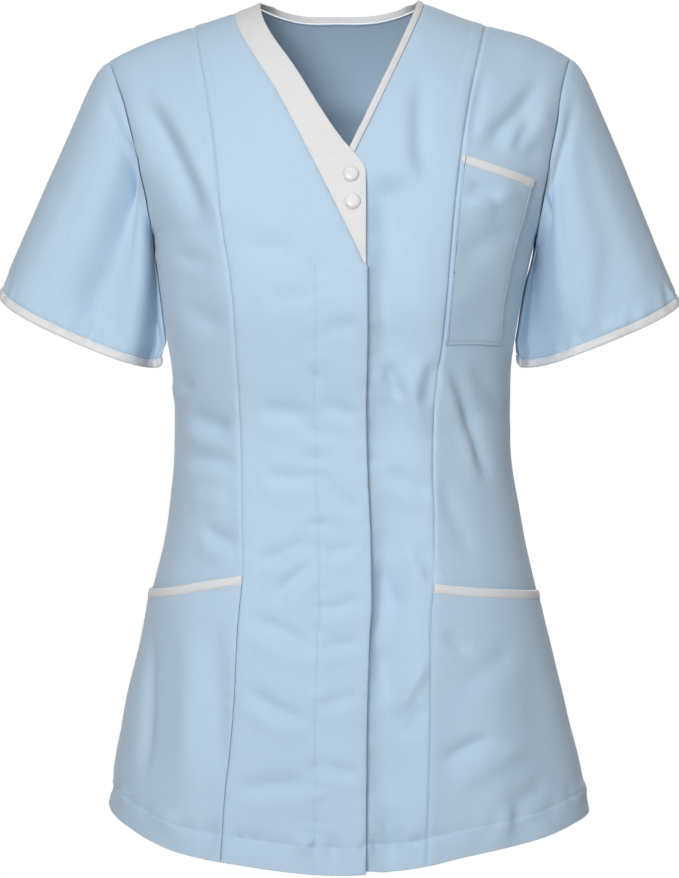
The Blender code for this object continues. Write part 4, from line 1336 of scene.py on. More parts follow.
@dataclass
class Body:
    """The front panels and the back."""

    tailor: Tailor
    edge_rise: float = 0.0027  # how far the fly's free edge stands off the layer below
    edge_reach: float = 0.015
    hollow: float = 0.0105  # how far the layer below falls back beside that edge
    hollow_place: float = 0.0180
    hollow_near: float = 0.0130
    hollow_far: float = 0.0210
    hollow_top: float = -0.150
    edge_roll: float = 0.0008
    fly_stitch_top: float = -0.217
    back_cell: float = 0.0036
    shoulder_columns: int = 22
    nape_columns: int = 48
    paths: list[Array] = field(default_factory=list)  # lines of stitches

    def build(self) -> None:
        """Makes every panel."""
        self.right_centre()
        self.left_centre()
        for side in Side:
            self.side_front(side)
        self.back()

    def hang(self, name: str, shell: Shell, *rests_on: str) -> None:
        """Dresses a panel, which hangs from the nodes named last."""
        self.tailor.dress(name, shell, BLUE_CLOTH, Slot.BLUE, "hung", rests_on)

    def ends_lift(self, v: Array) -> Array:
        """The hem, and the roll of the cloth into the shoulder seam."""
        return hem_lift(height_over_hem(v)) + shoulder_dip(v)

    def hem_path(self, shell: Shell, v: Array) -> None:
        """Keeps the hem's stitches on a panel whose rows are v."""
        row = nearest(height_over_hem(v), HEM_DEPTH)
        self.paths.append(shell.outer[row])

    def edge_wave(self, z: Array) -> Array:
        """How unevenly the fly's edge stands off, about 1, by height."""
        return 0.85 + 0.9 * Undulation(5, (0.034, 0.060), (0.4, 0.5)).at(0 * z, z)

    def right_centre(self) -> None:
        """The centre front on top: princess seam to white band, and to the fly's edge below it."""
        form = self.tailor.form
        tip_z = BAND_EDGE[0].z + SEAM_GAP * np.array([-2, 0.5])
        tip = form.locate(FRONT, np.full(2, FRONT_EDGE[-2].x), tip_z)[1]
        v = self.tailor.rows(extra=tuple(tip))
        outer_edge = form.seam(FRONT, PRINCESS_RIGHT, v, SEAM_GAP / 2)
        band = form.seam(FRONT, BAND_EDGE, v, -2 * SEAM_GAP)
        edge = form.seam(FRONT, FRONT_EDGE, v)
        sewn = (v > tip[0] + 1e-5)[:, None]
        inner_edge = np.where(sewn[:, 0], np.minimum(band, edge), edge)
        a, near, far = self.tailor.columns(FRONT, outer_edge, inner_edge, v, mark=FLY_WIDTH)
        rows = v[:, None]
        place = form.smooth(FRONT, a, rows)
        x, z = place[..., 0], place[..., 2]
        fly = stitched_groove(x - through(FRONT_EDGE, "z", "x", z) + FLY_WIDTH)
        stand = self.edge_rise * self.edge_wave(z) * bell(far, self.edge_reach)
        stand = stand * (1 - bell(far, self.edge_roll) / 4)
        lift = princess_dip(near, z) + allowance_ridge(near) + self.ends_lift(rows)
        lift = lift + fly * smooth_step((self.fly_stitch_top - z) / 0.004)
        lift = lift + np.where(sewn, seam_dip(far), stand)
        shell = self.tailor.shell(FRONT, a, rows, lift)
        self.hang("right_front_centre", shell, "right_front_side", "back")
        self.hem_path(shell, v)
        stitched = np.argmin(np.abs(far - FLY_WIDTH), axis=1)
        chosen = np.flatnonzero(z[:, 0] < self.fly_stitch_top)
        self.paths.append(shell.outer[chosen, stitched[chosen]])

    def left_centre(self) -> None:
        """The centre front below: from behind the right front to the princess seam."""
        form = self.tailor.form
        v = self.tailor.rows()
        neck = form.seam(FRONT, NECK_LINE_LEFT, v, SEAM_GAP / 2)
        hidden = form.seam(FRONT, FRONT_EDGE, v, -UNDERLAP)
        below = form.smooth(FRONT, neck, v)[..., 2] < NECK_LINE_LEFT[0].z
        inner_edge = np.where(below, hidden, np.maximum(neck, hidden))
        princess = form.seam(FRONT, PRINCESS_LEFT, v, -SEAM_GAP / 2)
        a, near, far = self.tailor.columns(FRONT, inner_edge, princess, v)
        rows = v[:, None]
        place = form.smooth(FRONT, a, rows)
        x, z = place[..., 0], place[..., 2]
        drop = underlap_lift(x, z)
        wave = self.edge_wave(0.7 * z - 0.2)
        off = x - through(FRONT_EDGE, "z", "x", z) - self.hollow_place * (0.4 + 0.6 * wave)
        hollow = bell(off, np.where(off < 0, self.hollow_near, self.hollow_far))
        hollow = hollow * smooth_step((self.hollow_top - z) / 0.02)
        lift = drop + seam_dip(near) + princess_dip(far, z) + allowance_ridge(far) + self.ends_lift(rows)
        lift = lift - self.hollow * hollow * self.edge_wave(z + 0.4)
        shell = self.tailor.shell(FRONT, a, hidden_rise(rows, -drop / UNDERLAP_DROP), lift)
        self.hang("left_front_centre", shell, "left_front_side", "back")
        self.hem_path(shell, v)

    def side_front(self, side: Side) -> None:
        """A side front: princess seam to side seam and armhole.

        Args:
            side: the wearer's right or left.
        """
        form = self.tailor.form
        v = self.tailor.rows()
        princess = form.seam(FRONT, PRINCESS[side], v, side * SEAM_GAP / 2)
        a, near, far = self.tailor.columns(FRONT, princess, side * form.armhole(FRONT, v), v)
        rows = v[:, None]
        place = form.smooth(FRONT, a, rows)
        x, z = place[..., 0], place[..., 2]
        lift = princess_dip(near, z) + seam_dip(far) + self.ends_lift(rows)
        behind = smooth_step((through(HIP_MOUTHS[side], "x", "z", x) - 0.002 - z) / 0.008)
        lift = lift + side_fall(near, far, (2 - rows) * SHOULDER_RATE) + behind * pocket_tuck(far)
        shell = self.tailor.shell(FRONT, a, rows, lift)
        self.hang(f"{side.word}_front_side", shell, "back")

    def back(self) -> None:
        """The whole back, side seam to side seam, with the back neck cut out of its top."""
        form = self.tailor.form
        rows = self.tailor.rows(self.back_cell)
        low, u = np.minimum(rows, 1), np.maximum(rows - 1, 0)
        corner = nape_turns(2)
        near = np.array(EDGE_STEPS) / SIDE_RATE
        out = np.linspace(near[-1], 1 + corner[0], self.shoulder_columns)[:-1]
        back = np.linspace(near[-1], 1 - corner[-1], self.shoulder_columns)[:-1][::-1]
        share = np.concatenate([
            near[:-1] - 1, out - 1, nape_turns(self.nape_columns), 1 - back, 1 - near[:-1][::-1],
        ])
        past = np.clip((np.abs(share) - corner[-1]) / (1 - corner[-1]), 0, 1)
        a = share + np.sign(share) * past * (form.armhole(BACK, low + u)[:, None] - 1)
        v = low[:, None] + u[:, None] * (nape_v(form, share) - 1)
        length = run_length(form.smooth(BACK, a, v), axis=1)
        edge = np.minimum(length, length[:, -1:] - length)
        height = hem_lift(height_over_hem(np.minimum(v, 1)))
        shell = self.tailor.shell(BACK, a, v, height + seam_dip(edge) + shoulder_dip(rows[:, None]))
        self.hang("back", shell, "sleeve_right", "sleeve_left")
        self.hem_path(shell, rows)


def underlap_lift(x: Array, z: Array) -> Array:
    """How far the left front drops behind the right one, back to nothing beside the front edge."""
    past = x - through(FRONT_EDGE, "z", "x", z)
    return -UNDERLAP_DROP * (1 - smooth_step((past - EASE_START) / EASE_IN))


def nape_turns(count: int) -> Array:
    """The back neck's columns from the wearer's right to the left, as a, closest at the corners.

    Args:
        count: the number of steps between them.

    Returns:
        The columns.
    """
    x = -NECK_HALF_WIDTH * np.cos(math.pi * np.arange(count + 1) / count)
    reach = np.where(x < 0, YOKES[-1].right, YOKES[-1].left)
    return turn_at(x / reach, YOKES[-1].square)


def nape_v(form: BodyForm, a: Array) -> Array:
    """The row of the back's top edge: the shoulder seam, or the back neck between.

    Args:
        form: the body's form.
        a: the columns.

    Returns:
        The row at each column, as v.
    """
    x = form.smooth(BACK, a, np.full_like(a, 2.0))[..., 0]
    share = np.clip(np.abs(x) / NECK_HALF_WIDTH, 0, 1)
    back = BACK_NECK_DEPTH * (1 - share**NAPE_SIDE_SQUARE) ** (1 / NAPE_BACK_SQUARE) / DEPTHS[-1].back
    up = (1 - back**BACK_ROUND) ** (1 / BACK_ROUND)
    return 1 + np.arctan2(up, back) / (math.pi / 2)


# ---------------------------------------------------------------- pockets


@dataclass
class Pockets:
    """The breast pocket and the two hip pockets, each with its white top."""

    tailor: Tailor
    mouth_stand: float = 0.0016  # how far a mouth stands open between its ends
    mouth_reach: float = 0.030
    stitch_in: float = 0.0018  # of the breast pocket's stitches from its edge
    tape_stitch: float = 0.16  # where a white top is stitched, as a share of its width
    tape_rows: int = 11
    breast_width: float = 0.074
    mouth_fall: float = 0.010  # how much lower the breast pocket's mouth is for the spacing of its rows
    breast_tuck: float = 0.0007  # how far its sewn edges sink, over this reach
    breast_reach: float = 0.0040
    fine_in: float = 0.0045  # the columns are closer together this far inside its edges
    hip_width: float = 0.115
    hip_dip: float = 0.0005  # how far its edge sinks by the princess seam, over this reach
    hip_reach: float = 0.0022
    hip_low: float = 0.045  # the part over the hem whose rows follow it
    hip_high: float = 0.17
    paths: list[Array] = field(default_factory=list)
    binding_paths: list[Array] = field(default_factory=list)

    def build(self) -> None:
        """Makes every pocket."""
        self.breast()
        for side in Side:
            self.hip(side)

    def stand(self, share: Array, below: Array) -> Array:
        """How far a pocket stands open.

        Args:
            share: places across the mouth, from 0 to 1.
            below: distances below the mouth.

        Returns:
            The extra height.
        """
        arch = np.sin(math.pi * share) ** 0.8
        return self.mouth_stand * arch * bell(below, self.mouth_reach)

    def bind(self, name: str, a: Array, v: Array, lift: Array, pocket: str) -> None:
        """Makes a pocket's white top as a rounded tape.

        Args:
            name: its node.
            a: its grid's places across.
            v: its grid's places up, evenly from its lower to its upper edge.
            lift: how far the pocket's outer face lies outside the body's cloth.
            pocket: the pocket that it is sewn to.
        """
        share = np.linspace(0, 1, a.shape[0])[:, None]
        proud = (BINDING_THICK - CLOTH) * tape_round(share)
        lift = lift + proud + stitched_groove((share - self.tape_stitch) * POCKET_BINDING) * 0.5
        shell = self.tailor.shell(FRONT, a, v, lift, CLOTH + proud)
        self.tailor.dress(name, shell, WHITE_CLOTH, Slot.WHITE, "folded", (pocket,))
        self.binding_paths.append(shell.outer[nearest(share, self.tape_stitch)])

    def breast(self) -> None:
        """The breast pocket on the wearer's left."""
        form = self.tailor.form
        wide, tall = self.breast_width, BREAST_MOUTH[0].z - BREAST_BOTTOM_Z - self.mouth_fall
        across = spaced(wide, self.tailor.cell, marks=(self.fine_in, wide - self.fine_in))
        share = across / wide
        top_x = BREAST_MOUTH[0].x * (1 - share) + BREAST_MOUTH[1].x * share
        mouth = through(BREAST_MOUTH, "x", "z", top_x)
        for name, low, top, up in (
            ("breast_pocket", np.full_like(share, BREAST_BOTTOM_Z), mouth - POCKET_BINDING - SEAM_GAP,
             spaced(tall, self.tailor.cell, marks=(self.fine_in,)) / tall),
            ("breast_pocket_binding", mouth - POCKET_BINDING, mouth, np.linspace(0, 1, self.tape_rows)),
        ):
            up = up[:, None]
            z = low * (1 - up) + top * up
            left = through(PRINCESS_LEFT, "z", "x", z) + 2 * SEAM_GAP
            right = through(BREAST_OUTER_EDGE, "z", "x", z)
            a, v = form.locate(FRONT, left * (1 - share) + right * share, z)
            low_side = np.minimum((wide - across)[None, :] + 0 * z, z - BREAST_BOTTOM_Z)
            lift = BREAST_GAP + CLOTH + self.stand(share[None, :], mouth[None, :] - z)
            edge = form.seam(FRONT, BREAST_OUTER_EDGE, np.clip(v[:, -1], 1e-3, 1.999))
            armhole = (form.armhole(FRONT, v[:, -1]) - edge)[:, None] * 0.17
            lift = lift + side_fall(across[None, :] + 2 * SEAM_GAP, wide - across[None, :] + armhole)
            if name == "breast_pocket":
                lift = lift + 0.4 * stitched_groove(low_side - self.stitch_in)
                lift = lift - self.breast_tuck * bell(low_side, self.breast_reach)
                shell = self.tailor.shell(FRONT, a, v, lift)
                self.tailor.dress(name, shell, BLUE_CLOTH, Slot.BLUE, "laid", ("left_front_side",))
                self.sew_round(shell, low_side)
            else:
                self.bind(name, a, v, lift, "breast_pocket")

    def sew_round(self, shell: Shell, distance: Array) -> None:
        """Keeps the breast pocket's stitches: along the bottom, and up the side away from the princess seam.

        Args:
            shell: the pocket.
            distance: each point's distance from those two edges.
        """
        columns = shell.outer.shape[1]
        column = nearest(distance[-1], self.stitch_in)
        row = nearest(distance[: len(distance) // 2, columns // 2], self.stitch_in)
        self.paths.append(np.concatenate([shell.outer[row, : column + 1], shell.outer[row + 1 :, column]]))

    def mouth_row(self, side: Side, a: Array, drop: float) -> Array:
        """The row of a hip pocket's mouth, or of a line below it.

        Args:
            side: the wearer's right or left.
            a: the columns.
            drop: how far the line lies below the mouth.

        Returns:
            The row at each column, as v.
        """
        form, v = self.tailor.form, np.full_like(a, 0.4)
        for _ in range(form.ROUNDS):
            x = form.smooth(FRONT, a, v)[..., 0]
            v = form.locate(FRONT, x, through(HIP_MOUTHS[side], "x", "z", x) - drop)[1]
        return v

    def hip(self, side: Side) -> None:
        """A hip pocket, from the hem to its white top, between the princess and the side seam.

        Args:
            side: the wearer's right or left.
        """
        form = self.tailor.form
        start = form.seam(FRONT, PRINCESS[side], np.full(1, 0.4))[0]
        across = spaced(self.hip_width, self.tailor.cell) / self.hip_width
        flat_a = start * (1 - across) + side * across
        low, top = self.mouth_row(side, flat_a, POCKET_BINDING), self.mouth_row(side, flat_a, 0.0)
        straight = spaced(self.hip_low, self.tailor.cell, marks=(HEM_DEPTH,)) / PANEL_HEIGHT
        straight = straight[: -len(EDGE_STEPS) + 1]
        rest = spaced(self.hip_high, self.tailor.cell)[len(EDGE_STEPS) :] / self.hip_high
        gap = SEAM_GAP / PANEL_HEIGHT
        up = straight[-1] + (low - gap - straight[-1]) * rest[:, None]
        body_v = np.concatenate([np.repeat(straight[:, None], len(low), axis=1), up])
        tape_v = low + (top - low) * np.linspace(0, 1, self.tape_rows)[:, None]
        for name, v in ((f"hip_pocket_{side.word}", body_v), (f"hip_pocket_binding_{side.word}", tape_v)):
            edge = form.seam(FRONT, PRINCESS[side], v, side * SEAM_GAP / 2)
            a = edge * (1 - across) + side * across
            length = run_length(form.smooth(FRONT, a, v), axis=1)
            far = length[:, -1:] - length
            below = (top - v) * PANEL_HEIGHT
            lift = LAID_GAP + CLOTH + self.stand(across[None, :], below)
            lift = lift - self.hip_dip * bell(length, self.hip_reach)
            lift = lift + pocket_tuck(far) + seam_dip(far) / 2 + side_fall(length, far)
            if name.startswith("hip_pocket_binding"):
                self.bind(name, a, v, lift, f"hip_pocket_{side.word}")
                continue
            lift = lift + hem_lift(height_over_hem(v))
            shell = self.tailor.shell(FRONT, a, v, lift)
            self.tailor.dress(name, shell, BLUE_CLOTH, Slot.BLUE, "laid", (f"{side.word}_front_side",))
            row = nearest(height_over_hem(v[:, 0]), HEM_DEPTH)
            self.paths.append(shell.outer[row])


# ---------------------------------------------------------------- neck trims


@dataclass
class NeckTrims:
    """The wide white band on the right front and the narrow white binding round the rest."""

    tailor: Tailor
    band_width: float = 0.028
    band_length: float = 0.235
    band_cell: float = 0.0022
    band_rise: float = 0.0003
    band_rows_bias: float = 0.86  # keeps its rows square to its run
    fine_in: float = 0.0055  # the band's columns are closer together this far inside its opening edge
    stitch_in: float = 0.0022
    edge_drop: float = 0.0004
    edge_roll: float = 0.0008
    tape_columns: int = 15
    tape_reach: float = 0.44  # how far the tape reaches each way from its middle, in its widths
    tape_edge: float = 0.45  # the share of its thickness that it keeps at its edges
    tape_middle: float = 0.62
    tape_stitch: float = -0.62  # where the binding is stitched, from -1 at its seam to 1
    nape_stand: float = 0.95  # how much the binding is turned upright at the nape
    nape_start: float = 0.008
    nape_reach: float = 0.036
    paths: list[Array] = field(default_factory=list)

    def build(self) -> None:
        """Makes both trims."""
        self.band()
        self.binding()

    def neck_rows(self, line: tuple, low_z: float, stations: Array) -> Array:
        """The rows along a neck line, from a height up to the shoulder seam.

        Args:
            line: the line's table.
            low_z: the height it starts from.
            stations: shares of the way up.

        Returns:
            The rows, as v.
        """
        x = through(line, "z", "x", np.array([low_z]))
        start = self.tailor.form.locate(FRONT, x, low_z)[1]
        return start + (2 - start) * stations

    def band(self) -> None:
        """The wide band: shoulder seam to its tip on the front edge."""
        form = self.tailor.form
        stations = spaced(self.band_length, self.tailor.cell) / self.band_length
        low_z = NECK_LINE_RIGHT[0].z
        inner_v = self.neck_rows(NECK_LINE_RIGHT, low_z + SEAM_GAP, stations)
        outer_v = self.neck_rows(BAND_EDGE, low_z, stations**self.band_rows_bias)
        inner_a = form.seam(FRONT, NECK_LINE_RIGHT, inner_v)
        outer_a = form.seam(FRONT, BAND_EDGE, outer_v)
        marks = (self.band_width - self.fine_in,)
        share = spaced(self.band_width, self.band_cell, marks=marks) / self.band_width
        a = outer_a[:, None] * (1 - share) + inner_a[:, None] * share
        v = outer_v[:, None] * (1 - share) + inner_v[:, None] * share
        length = run_length(form.smooth(FRONT, a, v), axis=1)
        near, far = length, length[:, -1:] - length
        round_edge = -self.edge_drop * bell(far, self.edge_roll)
        lift = seam_dip(near) + self.band_rise + round_edge + shoulder_dip(v)
        lift = lift + 0.6 * stitched_groove(near - self.stitch_in)
        shell = self.tailor.shell(FRONT, a, v, lift)
        self.tailor.dress("neck_band", shell, WHITE_CLOTH, Slot.WHITE, "folded", ("right_front_centre",))
        wide = length[:, -1] > 3 * self.stitch_in
        column = np.argmin(np.abs(near - self.stitch_in), axis=1)
        rows = np.flatnonzero(wide)
        self.paths.append(shell.outer[rows, column[rows]])

    def seam_points(self) -> tuple[Array, Array]:
        """The seam under the narrow binding.

        Returns:
            Its points, and the outward direction at each.
        """
        form = self.tailor.form
        x = through(NECK_LINE_LEFT, "z", "x", np.array([NECK_BINDING_START_Z]))
        start = form.locate(FRONT, x, NECK_BINDING_START_Z)[1][0]
        front_v = 2 - (2 - start) * np.linspace(1, 0, 90)
        front_a = form.seam(FRONT, NECK_LINE_LEFT, front_v)
        back_a = nape_turns(80)[::-1][1:]
        points, outs = [], []
        for half, a, v in ((FRONT, front_a, front_v), (BACK, back_a, nape_v(form, back_a))):
            place = form.smooth(half, a, v)
            drop = underlap_lift(place[:, 0], place[:, 2]) if half == FRONT else np.zeros(len(a))
            points.append(self.tailor.relief.cloth(half, a, v, drop - CLOTH / 2))
            outs.append(form.normal(half, a, v))
        return np.concatenate(points), np.concatenate(outs)

    def binding(self) -> None:
        """The narrow binding: up the left neckline and round the back neck."""
        points, out = self.seam_points()
        out[:, 2] -= self.nape_stand * smooth_step((points[:, 1] - self.nape_start) / self.nape_reach)
        out = unit(out)
        run = unit(np.gradient(points, axis=0))
        inward = unit(np.cross(out, run))
        share = np.linspace(-1, 1, self.tape_columns)
        middle = points + inward * (BINDING_WIDTH / 2 + SEAM_GAP)
        across = middle[:, None] + inward[:, None] * share[:, None] * BINDING_WIDTH * self.tape_reach
        round_over = self.tape_edge + self.tape_middle * (1 - np.abs(share) ** 3) ** 0.5
        half_thick = BINDING_THICK / 2 * round_over
        half_thick = half_thick + 0.6 * stitched_groove((share - self.tape_stitch) * BINDING_WIDTH / 2)
        rise = out[:, None] * half_thick[:, None]
        shell = Shell(across + rise, across - rise, round_rim=0.5)
        for grid in (shell.outer, shell.inner):
            grid[-1, :, 1] = np.maximum(grid[-1, :, 1], SEAM_GAP)
        sewn_to = ("left_front_centre", "back")
        self.tailor.dress("neck_binding", shell, WHITE_CLOTH, Slot.WHITE, "folded", sewn_to)
        column = nearest(share, self.tape_stitch)
        self.paths.append(shell.outer[:, column])


# ---------------------------------------------------------------- sleeves

SLEEVE_FOLDS = (  # the broad folds of both sleeves, by turn, drift, width and height
    (0.17, 0.03, 0.035, -0.0022),
    (0.66, 0.02, 0.035, -0.0036),
    (0.82, -0.03, 0.040, 0.0030),
)
INNER_FALLS = {  # how far the sleeve's front and back fall in beside the body, by turn and width
    Side.RIGHT: ((0.425, 0.032, 0.022), (0.590, 0.040, -0.005)),
    Side.LEFT: ((0.400, 0.040, 0.029), (0.370, 0.050, 0.005), (0.590, 0.040, -0.005)),
}


@dataclass
class Sleeve:
    """A set-in short sleeve and its bound hem."""

    tailor: Tailor
    side: Side
    quarter_columns: int = 46
    rows: int = 66
    tape_rows: int = 13
    tape_stitch: float = 0.2  # where the binding is stitched, as a share of its width
    start_gap: float = 0.0004  # between the sleeve's head and the armhole
    crease_share: float = 0.8
    body_gap: float = 0.0002  # between the sleeve's inner side and the body
    most_drawn: float = 0.0130
    drawn_width: float = 0.07  # of the inner side that is drawn to the body, in turns
    drawn_start: float = 0.1  # the share of the way down where it begins, then how soon it is whole
    drawn_run: float = 0.3
    carry: float = 0.22  # share of the sleeve over which the body's creases run on into it
    paths: list[Array] = field(default_factory=list)

    def build(self) -> None:
        """Makes the sleeve and its binding."""
        ring, turns = self.armhole(plain=True)
        end = self.cuff(turns)
        down = end - ring
        length = np.linalg.norm(down, axis=1)
        share = (spaced(SLEEVE_LENGTH, SLEEVE_LENGTH / self.rows) / SLEEVE_LENGTH)[:, None]
        start = self.start_gap / (length * self.slant(ring, down))
        t = share + (1 - share) * start
        near, far = t * length, (1 - t) * length
        lift = 0.5 * seam_dip(near) + 0.8 * seam_dip(far)
        name = f"sleeve_{self.side.word}"
        shell = Shell(self.surface(t, lift), self.surface(t, lift - CLOTH), tube=True)
        body = (f"{self.side.word}_front_side", "back")
        self.tailor.dress(name, shell, BLUE_CLOTH, Slot.BLUE, "hung", body)
        share = np.linspace(0, 1, self.tape_rows)[:, None]
        t = 1 + (SEAM_GAP / self.slant(end, down) + share * SLEEVE_BINDING) / length
        proud = (BINDING_THICK - CLOTH) / 2 * (0.2 + 1.1 * tape_round(share)) + 0 * t
        groove = 0.6 * stitched_groove((share - self.tape_stitch) * SLEEVE_BINDING)
        shell = Shell(self.surface(t, proud + groove), self.surface(t, -CLOTH - proud), tube=True)
        binding = f"sleeve_binding_{self.side.word}"
        self.tailor.dress(binding, shell, WHITE_CLOTH, Slot.WHITE, "folded", (name,))
        stitches = shell.outer[nearest(share, self.tape_stitch)]
        self.paths.append(np.concatenate([stitches, stitches[:1]]))

    def armhole(self, plain: bool) -> tuple[Array, Array]:
        """The armhole's edge, from the shoulder tip down the front, under the arm and up the back.

        Args:
            plain: whether to leave the cloth's creases out.

        Returns:
            The edge's points, and each one's turn as a share of the way round.
        """
        form, rings, turns = self.tailor.form, [], []
        for half, start in ((FRONT, 0.0), (BACK, 1.0)):
            v = 1 + np.linspace(0, 1, 400)[::-1] ** ARMHOLE_ROW_BIAS
            ring = form.smooth(half, self.side * form.armhole(half, v), v)
            ring[[0, -1], 1] = 0.0
            length = run_length(ring)
            stations = np.linspace(0, length[-1], 2 * self.quarter_columns + 1)
            even_v = np.interp(stations, length, v)
            a = self.side * form.armhole(half, even_v)
            even = form.smooth(half, a, even_v) if plain else self.tailor.relief.cloth(half, a, even_v)
            even[[0, -1], 1] = 0.0
            turn = np.abs(start - stations / length[-1] / 2)
            order = slice(None, -1) if half == FRONT else slice(None, 0, -1)
            rings.append(even[order])
            turns.append(turn[order])
        return np.concatenate(rings), np.concatenate(turns)

    def cuff(self, turns: Array) -> Array:
        """The sleeve's lower edge at the same turns as the armhole.

        Args:
            turns: the turns.

        Returns:
            The points of the edge.
        """
        cuff = CUFFS[self.side]
        outer = np.array([cuff.outer_x, 0, cuff.outer_z])
        inner = np.array([cuff.inner_x, 0, cuff.inner_z])
        centre, half_width = (outer + inner) / 2, (outer - inner) / 2
        side, fore = np.cos(2 * math.pi * turns), np.sin(2 * math.pi * turns)
        size = (np.abs(side) ** CUFF_SQUARE + np.abs(fore) ** CUFF_SQUARE) ** (1 / CUFF_SQUARE)
        forward = np.array([0, -cuff.half_depth, -cuff.front_dip])
        return centre + np.outer(side / size, half_width) + np.outer(fore / size, forward)

    def slant(self, ring: Array, down: Array) -> Array:
        """The sine of the angle at which each column leaves a ring.

        Args:
            ring: the points of the ring.
            down: the way each column goes.

        Returns:
            The sines.
        """
        run = np.roll(ring, -1, axis=0) - np.roll(ring, 1, axis=0)
        sizes = np.linalg.norm(run, axis=1) * np.linalg.norm(down, axis=1)
        return np.linalg.norm(np.cross(run, down), axis=1) / sizes

    def creases(self, turns: Array, t: Array) -> Array:
        """The sleeve's own creases, and the puckers above its binding.

        Args:
            turns: each column's turn.
            t: each point's share of the way down.

        Returns:
            The heights over the sleeve.
        """
        low = SLEEVE_LENGTH - 0.003
        line = np.stack([np.linspace(0, SLEEVE_ROUND, 60), np.full(60, low)], axis=1)
        seed = 61 if self.side == Side.RIGHT else 62
        puckers = Puckers(0.0105, 0.030, 0.0036, 0.00210, seed).along(line)
        total = np.zeros(t.shape)
        for lap in (-1, 0, 1):
            x = np.broadcast_to((turns + lap) * SLEEVE_ROUND, t.shape).copy()
            for crease in SLEEVE_CREASES[self.side]:
                crease.add_to(total, x, t * SLEEVE_LENGTH)
        total *= self.crease_share
        x = np.broadcast_to(turns * SLEEVE_ROUND, t.shape).copy()
        for crease in puckers:
            crease.add_to(total, x, t * SLEEVE_LENGTH)
        return total

    def draw_in(self, base: Array, turns: Array, t: Array) -> Array:
        """Rounds the sleeve's inner side away from the front and back, and lets it fall against the body.

        Args:
            base: the sleeve's points.
            turns: each column's turn.
            t: each point's share of the way down.

        Returns:
            The points drawn in.
        """
        seam = self.tailor.form.smooth(FRONT, self.side * np.ones(60), np.linspace(0, 1, 60))
        gap = self.side * (base[..., 0] - np.interp(base[..., 2], seam[:, 2], seam[:, 0]))
        inner_side = bell(turns - 0.5, self.drawn_width)
        close = np.clip(gap - self.body_gap, 0, self.most_drawn) * inner_side
        close = close * smooth_step((t - self.drawn_start) / self.drawn_run)
        close = close * (1 - 0.6 * smooth_step((t - 0.86) / 0.14))
        base[..., 0] -= self.side * close
        for turn, width, depth in INNER_FALLS[self.side]:
            bump = bell(turns - turn, width) * smooth_step(t / 0.35)
            base[..., 1] += depth * bump
        return base

    def surface(self, t: Array, lift: Array) -> Array:
        """The sleeve's outer face.

        Args:
            t: shares of each column's way from armhole to cuff.
            lift: how far outside that face each point lies.

        Returns:
            The points, by row and column.
        """
        ring, turns = self.armhole(plain=True)
        worn = self.armhole(plain=False)[0]
        down = self.cuff(turns) - ring
        base = self.draw_in(ring + down * t[..., None], turns, t)
        around = np.roll(base, -1, axis=1) - np.roll(base, 1, axis=1)
        out = unit(np.cross(around, np.broadcast_to(down, base.shape)) * self.side)
        upper = np.clip(np.cos(2 * math.pi * turns), 0, 1)
        height = HEAD_PUFF * upper * (1 - np.exp(-t / HEAD_RISE)) * (1 - HEAD_FADE * t)
        sideways = np.abs(np.sin(2 * math.pi * turns))
        height = height + SLEEVE_SWELL * sideways * np.sin(math.pi * np.clip(t, 0, 1)) ** 1.5
        for turn, drift, width, fold in SLEEVE_FOLDS:
            off = turns - turn - drift * t
            height = height + fold * smooth_step(t / 0.9) * bell(off, width)
        height = height + self.creases(turns, t) * smooth_step(t / 0.05)
        around = turns * SLEEVE_ROUND + 9 * self.side
        height = height + 0.6 * self.tailor.relief.undulation.at(around, t * SLEEVE_LENGTH)
        carried = (worn - ring) * bell(t, self.carry)[..., None]
        return base + carried + out * (height + lift)[..., None]


# ---------------------------------------------------------------- press studs


@dataclass
class StudCap:
    """A low round cap on the white band."""

    tailor: Tailor
    name: str
    x: float
    z: float
    radius: float = 0.0068
    cells: int = 22
    wall: float = 0.95  # the reach of the outer face and of the foot inside it, as shares of the radius
    foot: float = 0.96
    seat_gap: float = 0.0003  # over the gap of a sewn piece

    PROFILE = ((0.0, 0.0026), (0.35, 0.0026), (0.62, 0.0025), (0.80, 0.0021), (0.91, 0.0015), (1.0, 0.0008))

    def build(self) -> None:
        """Makes the cap."""
        form = self.tailor.form
        a, v = form.locate(FRONT, self.x, self.z)
        out = form.normal(FRONT, a, v)
        seat = self.tailor.relief.cloth(FRONT, a, v, SEAM_GAP + self.seat_gap)
        sideways = unit(np.cross([0.0, 0.0, 1.0], out))
        upward = np.cross(out, sideways)
        grid = np.linspace(-1, 1, self.cells + 1)
        s, t = np.meshgrid(grid, grid)
        reach = np.maximum(np.abs(s), np.abs(t))
        size = np.maximum(np.hypot(s, t), 1e-9)
        s, t = (part / size * reach * self.wall for part in (s, t))
        place = (s[..., None] * sideways + t[..., None] * upward) * self.radius
        height = np.interp(reach, *zip(*self.PROFILE))[..., None]
        rise = np.where(reach[..., None] > 0.99, 0.0002, 0.0)
        shell = Shell(seat + place + out * height, seat + place * self.foot + out * rise, round_rim=0.6)
        points, faces, _ = shell.points_and_faces()
        piece = make_mesh_object(f"{self.name}_moulded", points, faces, CAP_FINISH.material())
        report(piece, Slot.CAP, self.name)


# ---------------------------------------------------------------- stitching


